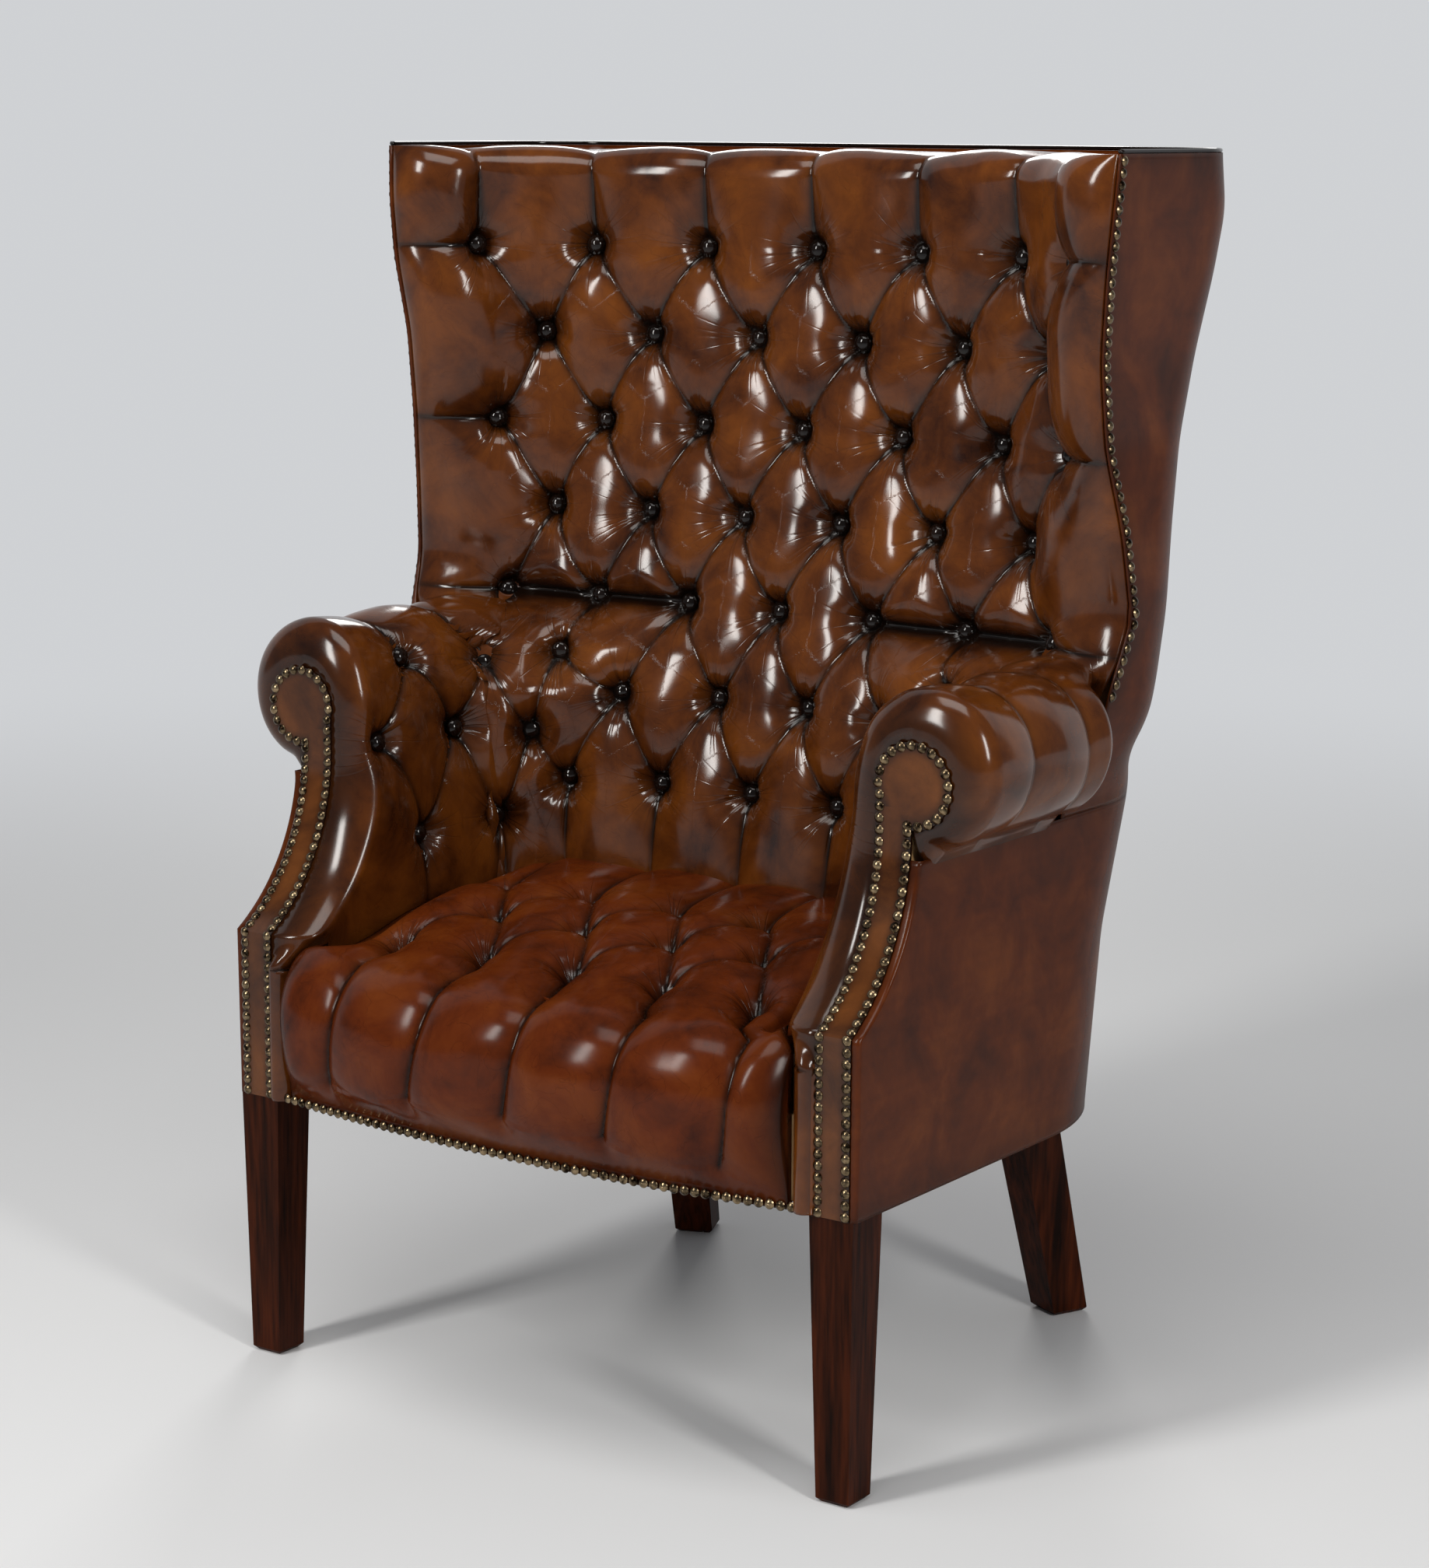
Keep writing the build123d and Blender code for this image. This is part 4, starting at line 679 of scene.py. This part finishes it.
# Height, way along the cover and tilt of each row: up the inside, round the roll, over the cap.
heights = levels + [top_start + top_radius * math.sin(turn) for turn in turns]
heights += [top_edge - 6 * share for share in cap_shares]
girths = levels + [top_start + top_radius * turn for turn in turns]
girths += [girths[-1] + share * 100 for share in cap_shares]
top_turn = np.array([0] * len(levels) + turns + [math.pi / 2] * len(cap_shares))[:, None]
for row, level in enumerate(heights):
    outline = inner_plan(level)
    front = wing_front(level)
    low_share = eased(rise(level, 650, waist))
    lap = -8 + (front + np.interp(level, [waist, 850], [13, 38]) + 8) * low_share
    last = run_at(outline, lap, -24)
    run = np.linspace(0, 1, nose_from) * last
    place, normal = place_at(outline, run)
    offset = -back_deep + 3 * eased(rise(run, last - 60, last) * low_share)
    # Towards the arm it leans out as the arm does, and its edge tucks in behind the arm's cover.
    lean_out = np.interp(level, [600, 640, 668, 687, 698], [0, 3, 12, 24, 40])
    offset += lean_out * (1 - low_share) * eased(rise(run, last - 110, last))
    offset += 12 * (1 - low_share) * rise(run, last - 34, last) ** 2
    contour[row, :nose_from] = place + normal * offset[:, None]
    facing_in[row, :nose_from] = -normal
    behind[row, :nose_from] = place + normal * 3.5
    runs[row, :nose_from] = run
    start = contour[row, inside_columns]
    lead = np.array([-normal[-1][1], normal[-1][0]])
    lead = lead if lead[1] < 0 else -lead
    edge = smooth_row(body_rows, 1, level) * half_width - 3.4 - 14 * (1 - low_share)
    tip = front + 1 + 10 * (1 - low_share)
    p1 = start + lead * max(2, (start[1] - front + 8) * 0.78) * low_share
    p2 = np.array([edge - 26, tip - 18 * low_share])
    p3 = np.array([edge, tip])
    t = nose_share[:, None]
    nose = bezier(start, p1, p2, p3, t)
    slope = 3 * (p1 - start) * (1 - t) ** 2 + 6 * (p2 - p1) * t * (1 - t) + 3 * (p3 - p2) * t**2
    slope /= np.linalg.norm(slope, axis=1)[:, None]
    contour[row, nose_from:] = nose
    facing_in[row, nose_from:] = np.stack([slope[:, 1], -slope[:, 0]], -1)
    stride = np.linalg.norm(np.diff(np.vstack([start, nose]), axis=0), axis=1)
    runs[row, nose_from:] = last + np.cumsum(stride)
    behind_edge = np.array([edge - 2, tip + 4])
    behind[row, nose_from:] = behind[row, inside_columns] * (1 - t) + behind_edge * t
sweep = np.concatenate([np.zeros(nose_from), nose_share])
contour -= facing_in * (top_radius * (1 - np.cos(top_turn)) * (1 - sweep**2))[..., None]
outline = body_plan(top_edge)
outer_run = np.linspace(0, 1, nose_from) * run_at(outline, wing_front(top_edge) + 38)
outer, normal = place_at(outline, outer_run)
welt_inset = 4.6
outer = outer - normal * welt_inset
nose_y = np.linspace(outer[-1][1], wing_front(top_edge) + 1, nose_columns + 1)[1:]
outer = np.vstack([outer, np.stack([np.full(nose_columns, outline[0] - welt_inset), nose_y], -1)])
for number, share in enumerate(cap_shares):
    contour[cap_from + number] = contour[cap_from - 1] * (1 - share) + outer * share

signs = np.concatenate([-np.ones(half_count), np.ones(half_count + 1)])
order = np.concatenate([np.arange(half_count, 0, -1), np.arange(half_count + 1)])
runs = runs[:, order] * signs
girths = np.repeat(np.array(girths)[:, None], len(order), 1)
heights = np.repeat(np.array(heights)[:, None], len(order), 1)
sink, fields = draw_in(runs, girths, inside_tufts, inside_pleats, back_deep, 11)
seam_fade = (1 - sweep**3)[order]
cap_fade = np.ones((row_count, 1))
cap_fade[cap_from:, 0] = 1 - np.array(cap_shares)
sink = sink * seam_fade * cap_fade
mirror_x = np.stack([signs, np.ones_like(signs)], -1)
contour = contour[:, order] * mirror_x
facing_in = facing_in[:, order] * mirror_x
behind = behind[:, order] * mirror_x
front = np.zeros(sink.shape + (3,))
front[..., :2] = contour - facing_in * (sink * np.cos(top_turn))[..., None]
front[..., 2] = heights - sink * np.sin(top_turn)
back = np.dstack([behind, np.minimum(heights, 1137)])
back[cap_from:, :, :2] = front[cap_from:, :, :2]
inside_cover = skin("inside_back_and_wings", front, back, hide, fields)
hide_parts("inside_back_cover")


# Pits of the four tufts on each side whose buttons sit where the back turns into the arm.
corner_places = []
for side in (1, -1):
    for name in ("a3", "b3"):
        run, level = low_tufts[name]
        pit = nearest_place(runs - side * run, girths - level)
        corner_places.append((front[pit], facing_in[pit]))


# Arms: one padded cover each, from under the roll over its top and down the inside. At the front it
# rounds in to the nailed edge of the facing, and below the seat it runs down as a narrow band.
sweep_top = 579
sweep_foot = 417
sweep_radius = 192
scroll_front = -178.0
foot_front = -267.0
roll_centre = np.array([350, 632])
roll_radius = 70
roll_end = np.array([352, 632])
scroll_centre = (346, 620)
scroll_radius = 38.8
facing_in_x = 309.5


def front_y(level):
    """Front of the arm's facing at a height: upright, a sweep back, upright again."""
    level = np.asarray(level, float)
    inside = np.clip(sweep_radius**2 - (sweep_top - level) ** 2, 0, None)
    swept = scroll_front - sweep_radius + np.sqrt(inside)
    upper = np.where(level <= sweep_foot, foot_front, swept)
    return np.where(level >= sweep_top, scroll_front, upper)


# The section from the seat's foot up the inside and round the roll, as (x, height).
knots = [(286, 259), (285, 300), (281, 350), (270, 395), (264, 430), (263, 488)]
knots += [(265, 545), (269, 590), (277, 635), (289, 668), (306, 687), (326, 698.5)]
for degrees in np.arange(90, -80, -15):
    turn = math.radians(degrees)
    knots.append(tuple(roll_centre + roll_radius * np.array([math.cos(turn), math.sin(turn)])))
knots += [(361, 557), (353, 547)]
arm_rows = 281
arm_columns = 132
section, section_normal, even = evenly(through(np.array(knots, float), 40), arm_rows)
to_end = even[-1] - even
top_row = int(np.argmax(section[:, 1]))
inside_rows = np.arange(arm_rows) < top_row
# Tufts are placed by the height, and over the roll by the way along it.
round_from = 668
arm_v = np.zeros(arm_rows)
near_row = int(np.argmin(np.abs(section[:top_row, 1] - round_from)))
arm_v[: near_row + 1] = section[: near_row + 1, 1]
arm_v[near_row:] = round_from + even[1] * np.arange(arm_rows - near_row)

corner_high, corner_low = (9, 652), (3, 494)
mid_high, front_mid, rear_mid, mid_low = (-80, 664), (-137, 588), (-31, 588), (-80, 488)
arm_places = (mid_high, corner_high, front_mid, rear_mid, mid_low, corner_low)
arm_tufts = [(*place, 6) for place in arm_places]
arm_pleats = [
    (mid_high, front_mid, (arm_deep, 8, arm_deep), 40, 0),
    (mid_high, rear_mid, (arm_deep, 8, arm_deep), 40, 0),
    (corner_high, rear_mid, (arm_deep, 8, arm_deep), 40, 0),
    (front_mid, mid_low, (arm_deep, 7, arm_deep), 44, 3),
    (rear_mid, mid_low, (arm_deep, 7, arm_deep), 44, -3),
    (rear_mid, corner_low, (arm_deep, 7, arm_deep), 44, 0),
    (mid_low, (-84, 380), (arm_deep, 7, 9), 50, 0),
    (corner_low, (0, 380), (arm_deep, 7, 9), 50, 0),
    (mid_high, (-96, 950), (arm_deep, 6, 8), 60, 6),
    (corner_high, (6, 950), (arm_deep, 6, 8), 60, 4),
    (front_mid, (-190, 592), (20, 4, 1), 60, 0),
]
corner_end = 14
band_top, band_end = 385, -226
for side, sign in (("right", 1), ("left", -1)):
    # How far back each row runs: to the corner low down, behind the wing on the roll.
    roll_share = rise(arm_v, 672, waist)
    end_y = corner_end + 86 * eased(roll_share)
    outer_share = rise(section[:, 0], 372, 396) * ~inside_rows
    outer_share[int(np.argmax(section[:, 0])) :] = 1
    end_y = end_y * (1 - outer_share) + 56 * outer_share
    foot_end = np.interp(section[:, 1], [band_top, 400], [band_end, corner_end])
    end_y = np.where(section[:, 1] < 400, foot_end, end_y)
    end_y[: int(np.argmax(section[:, 1] > band_top))] = band_end
    share = np.linspace(0, 1, arm_columns + 1)
    share = share * 0.55 + 0.45 * share**1.8
    start_y = front_y(section[:, 1]) + 1.5
    y = start_y[:, None] + (end_y - start_y)[:, None] * share[None, :]
    grid_v = np.repeat(arm_v[:, None], arm_columns + 1, 1)
    sink, fields = draw_in(y, grid_v, arm_tufts, arm_pleats, arm_deep, 5 if sign > 0 else 8)
    # Darker beside the facing's nails, and painted shade along the tacked edge under the roll, where the
    # roll overhangs it.
    nail_side_dark = 0.75 * np.exp(-(y - start_y[:, None]) / 9)
    tacked_edge_shade = 0.9 * np.exp(-to_end / 9)[:, None]
    fields["patina_and_shade"] = np.maximum(fields["patina_and_shade"], np.maximum(nail_side_dark, tacked_edge_shade))
    own_y = y.copy()
    away = y - start_y[:, None]
    sink = sink * rise(away, 0, 24) ** 0.7
    sink = sink * rise(to_end, 0, 90)[:, None]
    base = np.repeat(section[:, None, :], arm_columns + 1, 1)
    out = np.repeat(section_normal[:, None, :], arm_columns + 1, 1)
    # The plan's corner turns the inside towards the back behind the arm's middle.
    lean = np.arcsin(np.clip((y + 50) / 90, 0, 0.93)) * (1 - roll_share)[:, None]
    tuck = 14 * rise(y, -6, corner_end) ** 2 * (1 - roll_share)[:, None]
    sink = sink + np.where(inside_rows[:, None], tuck, 0)
    lean = np.where(inside_rows[:, None], lean, 0)
    point = base - out * sink[..., None] * np.stack([np.cos(lean), np.ones_like(lean)], -1)
    y = y + np.abs(out[..., 0]) * sink * np.sin(lean)
    low_levels = np.minimum(section[:, 1], waist)
    open_share = np.array([smooth_row(opening_rows, 1, level, 6) for level in low_levels])
    open_share = np.where(inside_rows, open_share, 1)
    bend = np.clip(own_y + 50, 0, 84)
    shift = (90 - np.sqrt(90**2 - bend**2)) * (1 - open_share)[:, None]
    point[..., 0] -= shift
    # The roll's outer part closes behind in a round end against the wing.
    closing = rise(own_y - end_y[:, None], -26, 0)
    closing = 0.8 * (1 - np.sqrt(1 - closing**2)) * outer_share[:, None]
    point = point * (1 - closing[..., None]) + roll_end * closing[..., None]
    # Rounding at the front, towards the facing's edge.
    from_centre = section - roll_centre
    angle = np.arctan2(from_centre[:, 1], from_centre[:, 0])
    angle = np.where(angle < -math.pi * 0.75, angle + 2 * math.pi, angle)
    rim = scroll_centre + scroll_radius * np.stack([np.cos(angle), np.sin(angle)], -1)
    strip = np.stack([np.full(arm_rows, facing_in_x), section[:, 1]], -1)
    blend_in = rise(section[:, 1], 596, 636)[:, None]
    rim = np.where(inside_rows[:, None], strip * (1 - blend_in) + rim * blend_in, rim)
    over = 1 - rise(away, 0, 26)
    over = (1 - np.sqrt(1 - over**2))[..., None]
    point = point * (1 - over) + rim[:, None, :] * over
    y = y + (front_y(point[..., 1]) + 1.5 - start_y[:, None]) * (1 - rise(away, 0, 60))
    # Below the seat's top the front is a narrow rounded band beside the seat.
    way = rise(away, 0, 40)
    band_x = bezier(facing_in_x, 307, 284, 283, way)
    band_y = bezier(-265.5, -281, -283, -240, way)
    banded = rise(section[:, 1], 425, 385)[:, None] * inside_rows[:, None]
    banded = eased(banded) * rise(away, 60, 40)
    point[..., 0] = point[..., 0] * (1 - banded) + band_x * banded
    y = y * (1 - banded) + band_y * banded
    front = np.stack([point[..., 0] * sign, y, point[..., 1]], -1)
    inner = point - out * np.where(inside_rows, 2.4, 8.4)[:, None, None]
    back = np.stack([inner[..., 0] * sign, y + 3, inner[..., 1]], -1)
    for across, level in (corner_high, corner_low):
        pit = nearest_place(own_y - across, grid_v - level)
        turn = float(lean[pit])
        corner_places.append((front[pit], (-sign * math.cos(turn), -math.sin(turn))))
    cover = skin("arm_upholstery_" + side, front, back, hide, fields)
    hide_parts("arm_cover_" + side)

# Corner buttons: domed buttons under thin black hide, pulled in where the back turns into the arms.
# Each is a flattened ball on its pit's floor; all are one piece.
rounds = []
for place, way in corner_places:
    bpy.ops.mesh.primitive_uv_sphere_add(segments=28, ring_count=16, radius=0.009)
    button = bpy.context.object
    button.rotation_euler = (0, math.pi / 2, math.atan2(way[1], way[0]))
    button.scale = (1, 1, 0.5)
    button.location = (place + 1.2 * np.array([*way, 0])) / 1000
    rounds.append(button)
bpy.ops.object.select_all(action="DESELECT")
for button in rounds:
    button.select_set(True)
bpy.context.view_layer.objects.active = rounds[0]
bpy.ops.object.join()
bpy.ops.object.transform_apply(location=True, rotation=True, scale=True)
corner_buttons = bpy.context.object
corner_buttons.name = "corner_buttons"
bpy.ops.object.shade_smooth()
corner_buttons.data.materials.append(button_hide)
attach(corner_buttons, "root")


# Seat: a sprung seat in redder, more worn hide, drawn in by three rows of tufts without buttons. Its
# front bows out, rolls over the edge and is pleated down to the nailed foot.
front_tufts, mid_tufts, rear_tufts = -207, -125, -45
seat_half = 284
seat_foot = 259
seat_tufts = [(x, y, 4) for x in (-220, -110, 0, 110, 220) for y in (front_tufts, rear_tufts)]
seat_tufts += [(x, mid_tufts, 4) for x in (-165, -55, 55, 165)]
seat_pleats = []
for x, y, _ in seat_tufts:
    next_y = mid_tufts if y == front_tufts else rear_tufts
    for step in (-55, 55):
        if y < rear_tufts and abs(x + step) <= 250:
            depths = (seat_deep, 9, seat_deep)
            seat_pleats.append(((x, y), (x + step, next_y), depths, 42, math.copysign(9, step)))
    if y == rear_tufts:
        seat_pleats.append(((x, y), (x, 90), (28, 9, 10), 44, 4))
    if y == front_tufts:
        seat_pleats.append(((x, y), (x + 6, -420), (seat_deep, 13, 14), 50, 20))
seat_columns = 244
seat_rows = 213
seat_front = np.zeros((seat_rows, seat_columns + 1, 3))
seat_out = np.zeros((seat_rows, seat_columns + 1, 2))
seat_x = np.linspace(-seat_half, seat_half, seat_columns + 1)
seat_along = np.zeros((seat_rows, seat_columns + 1))
bow = 28
bow_radius = (304.0**2 + bow**2) / (2 * bow)
for column, x in enumerate(seat_x):
    way = abs(x)
    lip = -259 - bow + bow_radius - math.sqrt(bow_radius**2 - way**2)
    belly = -331 + 36 * (max(0, way - 55) / 248) ** 2 + 20 * rise(way, 240, 284) ** 3
    drop = 26 * (1 - math.sqrt(1 - rise(way, 206, 262) ** 2))
    # From the nailed foot up the swelling front and back over the top, as (y, height).
    knots = np.array([
        (lip - 6, seat_foot), (lip - 6.6, 268), (belly + 9, 298), (belly + 1, 332),
        (belly + 3, 364), (belly + 17, 393), (belly + 42, 411), (-245, 420 - drop * 0.6),
        (front_tufts, 428 - drop), (mid_tufts, 445 - drop), (rear_tufts, 453 - drop),
        (40, 455 - drop), (86, 454 - drop),
    ], float)
    curve = np.vstack([through(knots, 16), knots[-1:]])
    section, seat_out[:, column], even = evenly(curve, seat_rows)
    seat_front[:, column, 0] = x
    seat_front[:, column, 1:] = section
    upper = slice(seat_rows // 3, None)
    mark = np.interp(front_tufts, section[upper, 0], even[upper])
    seat_along[:, column] = even - mark + front_tufts
across = np.tile(seat_x, (seat_rows, 1))
sink, fields = draw_in(across, seat_along, seat_tufts, seat_pleats, seat_deep, 21)
# Painted shade beside the arms and above the nailed foot, where it is stretched flat too.
ends = 0.9 * np.exp(-(seat_half - np.abs(seat_x)) / 12)
foot_shade = 0.8 * np.exp(-(seat_front[..., 2] - seat_foot) / 10)
fields["patina_and_shade"] = np.maximum(fields["patina_and_shade"], np.maximum(ends, foot_shade))
sink = sink * rise(seat_front[..., 2], 268, 294)
seat_front[..., 1:] -= seat_out * sink[..., None]
# Behind the arms' fronts the seat is only as wide as the room between them.
room_half = 262
arm_fronts = -262
squeeze = rise(seat_front[..., 1], arm_fronts, -242) * rise(seat_front[..., 2], 340, 380)
seat_front[..., 0] *= 1 - squeeze * (1 - room_half / seat_half)
seat_back = seat_front.copy()
seat_back[..., 2] = np.where(seat_front[..., 1] > arm_fronts, 386, seat_front[..., 2])
seat_back[..., 1] = np.maximum(seat_front[..., 1], arm_fronts)
seat_cover = skin("seat_upholstery", seat_front, seat_back, seat_hide, fields)
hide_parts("seat_cover")


# Outside panels: plain hide stretched over the arms, the wings and the barrel of the back. Each is
# one smooth sheet that follows the body's plan and is a leather's thickness deep.
turned_columns = 8


def panel(name, low, high, rows, columns, sign, front_at, seed, turned=False):
    """A sheet between two heights, from the long arc's end to a front on the sign's side.

    With sign 0 it covers the arc. The front edge of a turned one turns in to the facing.
    """
    levels = np.linspace(low, high, rows)
    front = np.zeros((rows, columns, 3))
    back = np.zeros((rows, columns, 3))
    patina_and_shade = np.zeros((rows, columns))
    random = np.random.default_rng(seed)
    for row, level in enumerate(levels):
        outline = body_plan(level)
        seam = outline[5] * outline[6]
        ends = (0.3 - seam, seam - 0.3)
        if sign:
            ends = (sign * (seam + 0.3), sign * run_at(outline, front_at(level)))
        extra = turned_columns if turned else 0
        run = np.append(np.linspace(*ends, columns - extra), [ends[1]] * extra)
        place, normal = place_at(outline, run)
        front[row, :, :2] = place - normal * 0.1
        back[row, :, :2] = place - normal * 2.4
        if turned:
            # The front edge turns in over the arm's board, up to the facing.
            bend, facing_out_x = 4, 345.4
            flat = abs(place[-1 - turned_columns][0]) - bend
            for number in range(turned_columns):
                turn = math.radians(min(90, 18 * (number + 1)))
                way = np.array([sign * math.cos(turn), -math.sin(turn)])
                inset = max(0, number - 4) / 3 * (flat - facing_out_x)
                corner = np.array([sign * (flat - inset), float(front_y(level)) + 4.9])
                column = columns - turned_columns + number
                front[row, column, :2] = corner + bend * way
                back[row, column, :2] = corner + (bend - 1.6) * way
        edge = np.minimum(np.arange(columns), np.arange(columns)[::-1])
        rim = np.minimum(edge * abs(run[1] - run[0]), min(level - low, high - level) + 4)
        patina_and_shade[row] = 0.55 * np.exp(-rim / 16) + 0.1 * random.random()
    front[..., 2] = levels[:, None]
    back[..., 2] = levels[:, None]
    piece = skin(name, front, back, outside_hide, {"patina_and_shade": patina_and_shade})
    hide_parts(name)


def arm_panel_front(level):
    """Where the turn of an arm panel's front edge begins."""
    return float(front_y(level)) + 5.0


for side, sign in (("right", 1), ("left", -1)):
    arm_range, wing_range = (body_foot, wing_foot), (wing_foot + 0.3, top_edge)
    panel("outside_arm_" + side, *arm_range, 61, 81, sign, arm_panel_front, 3, True)
    panel("outside_wing_" + side, *wing_range, 121, 61, sign, wing_front, 4)
panel("outside_back", body_foot, top_edge, 181, 101, 0, None, 6)

# Welt: a thin edge of folded hide round the top, from one wing's front to the other's. It is an
# eight-sided tube along the body's plan, over the line where the cover and the panels meet.
welt_radius = 1.95
outline = body_plan(top_edge)
welt_run = np.linspace(-1, 1, 241) * run_at(outline, wing_front(top_edge) + 1)
place, normal = place_at(outline, welt_run)
centre = np.column_stack([place - normal * 2.1, np.full(len(place), 1148.0)])
ring = []
for degrees in range(0, 360, 45):
    turn = math.radians(degrees)
    side_way = np.column_stack([normal, np.zeros(len(normal))]) * math.cos(turn)
    ring.append(centre + (side_way + np.array([0, 0, math.sin(turn)])) * welt_radius)
points = np.array(ring).transpose(1, 0, 2).reshape(-1, 3)
index = np.arange(len(points)).reshape(len(centre), -1)
faces = [tuple(face) for face in quads(np.column_stack([index, index[:, 0]]))]
faces += [tuple(index[0, ::-1]), tuple(index[-1])]
welt = smooth_piece("top_piping", points, faces, button_hide)
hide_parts("top_welt")

# Facings: hide over card up the front of each arm, ending in the round scroll. They keep the exact
# form of the frame, and the rim darkens their leather.
def facing_rim(tree, place):
    """Dark burnish towards the edges of the strip and of the scroll."""
    parts = add_node(tree, "ShaderNodeSeparateXYZ", {0: place}).outputs
    side_way = calc(tree, "ABSOLUTE", parts[0])
    strip = calc(tree, "ABSOLUTE", calc(tree, "SUBTRACT", side_way, 0.327))
    strip = calc(tree, "SUBTRACT", strip, 0.018)
    # Above the scroll's lower part only the distance from the scroll's middle counts.
    across = calc(tree, "SUBTRACT", side_way, 0.346)
    along = calc(tree, "SUBTRACT", parts[2], 0.62)
    away = add_node(tree, "ShaderNodeCombineXYZ", {0: across, 1: along}).outputs[0]
    away = add_node(tree, "ShaderNodeVectorMath", {0: away}, operation="LENGTH").outputs["Value"]
    scroll = calc(tree, "SUBTRACT", away, 0.038)
    strip = calc(tree, "ADD", strip, calc(tree, "GREATER_THAN", parts[2], 0.6))
    inside = calc(tree, "MINIMUM", strip, scroll)
    return map_range(tree, inside, -0.014, -0.001, 0.0, 0.85, "SMOOTHSTEP")


tones = ("#2E1608", "#522C10", "#6B3D18")
facing_hide = leather("facing_leather", *tones, 0.5, 0.8, 0.15, 0.6, facing_rim)
for side in sides:
    dress(facing_hide, "facing_" + side)

# Buttons, covered in nearly black hide, each pulled down into its tuft. The frame's own are kept.
# All but the corner buttons above are among them.
dress(button_hide, "back_buttons", "arm_buttons_left", "arm_buttons_right")

# Nails: small domed heads of antique brass, bright with patches of brown tarnish. The frame's own
# heads are kept, in rows along the facings, the wings' fronts and the seat's foot.
brass, tree, output = new_material("antique_brass")
tarnish = noise(tree, object_place(tree), 130.0, 3.0, Roughness=0.6)
colour = ramp(tree, tarnish, (0.35, "#1A120B"), (0.65, "#968265"))
shade(tree, output, {"Base Color": colour, "Metallic": 1.0, "Roughness": 0.27})
dress(brass, "front_nails")
for side in sides:
    dress(brass, "facing_nails_" + side, "wing_nails_" + side)

# Bottom cloth: black cambric tacked under the seat rails, with a slight sag. It reaches from inside
# the front rail's bow to inside the plan of the back.
cambric = tinted("black_cambric", "#0E0D0D", "#1E1C1B", 900, even_grain, 0.95)
cloth_half = 300
cloth_x = np.linspace(-cloth_half, cloth_half, 41)
cloth_front = -259 - bow + bow_radius - np.sqrt(bow_radius**2 - cloth_x**2) + 10
outline = body_plan(body_foot)
back_run = np.linspace(-1, 1, 401) * run_at(outline, 0)
back_place, normal = place_at(outline, back_run)
cloth_back = np.interp(cloth_x, back_place[:, 0], back_place[:, 1] - 26)
share = np.linspace(0, 1, 37)[:, None]
cloth = np.zeros((37, 41, 3))
cloth[..., 0] = cloth_x
cloth[..., 1] = cloth_front * (1 - share) + cloth_back * share
sag = np.sin(np.pi * share) * np.cos(np.pi * cloth_x / (2 * cloth_half))
cloth[..., 2] = 261.6 - 3.2 * sag
cloth_piece = skin("cambric_under_seat", cloth, cloth + np.array([0, 0, 0.8]), cambric)
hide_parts("bottom_cloth")
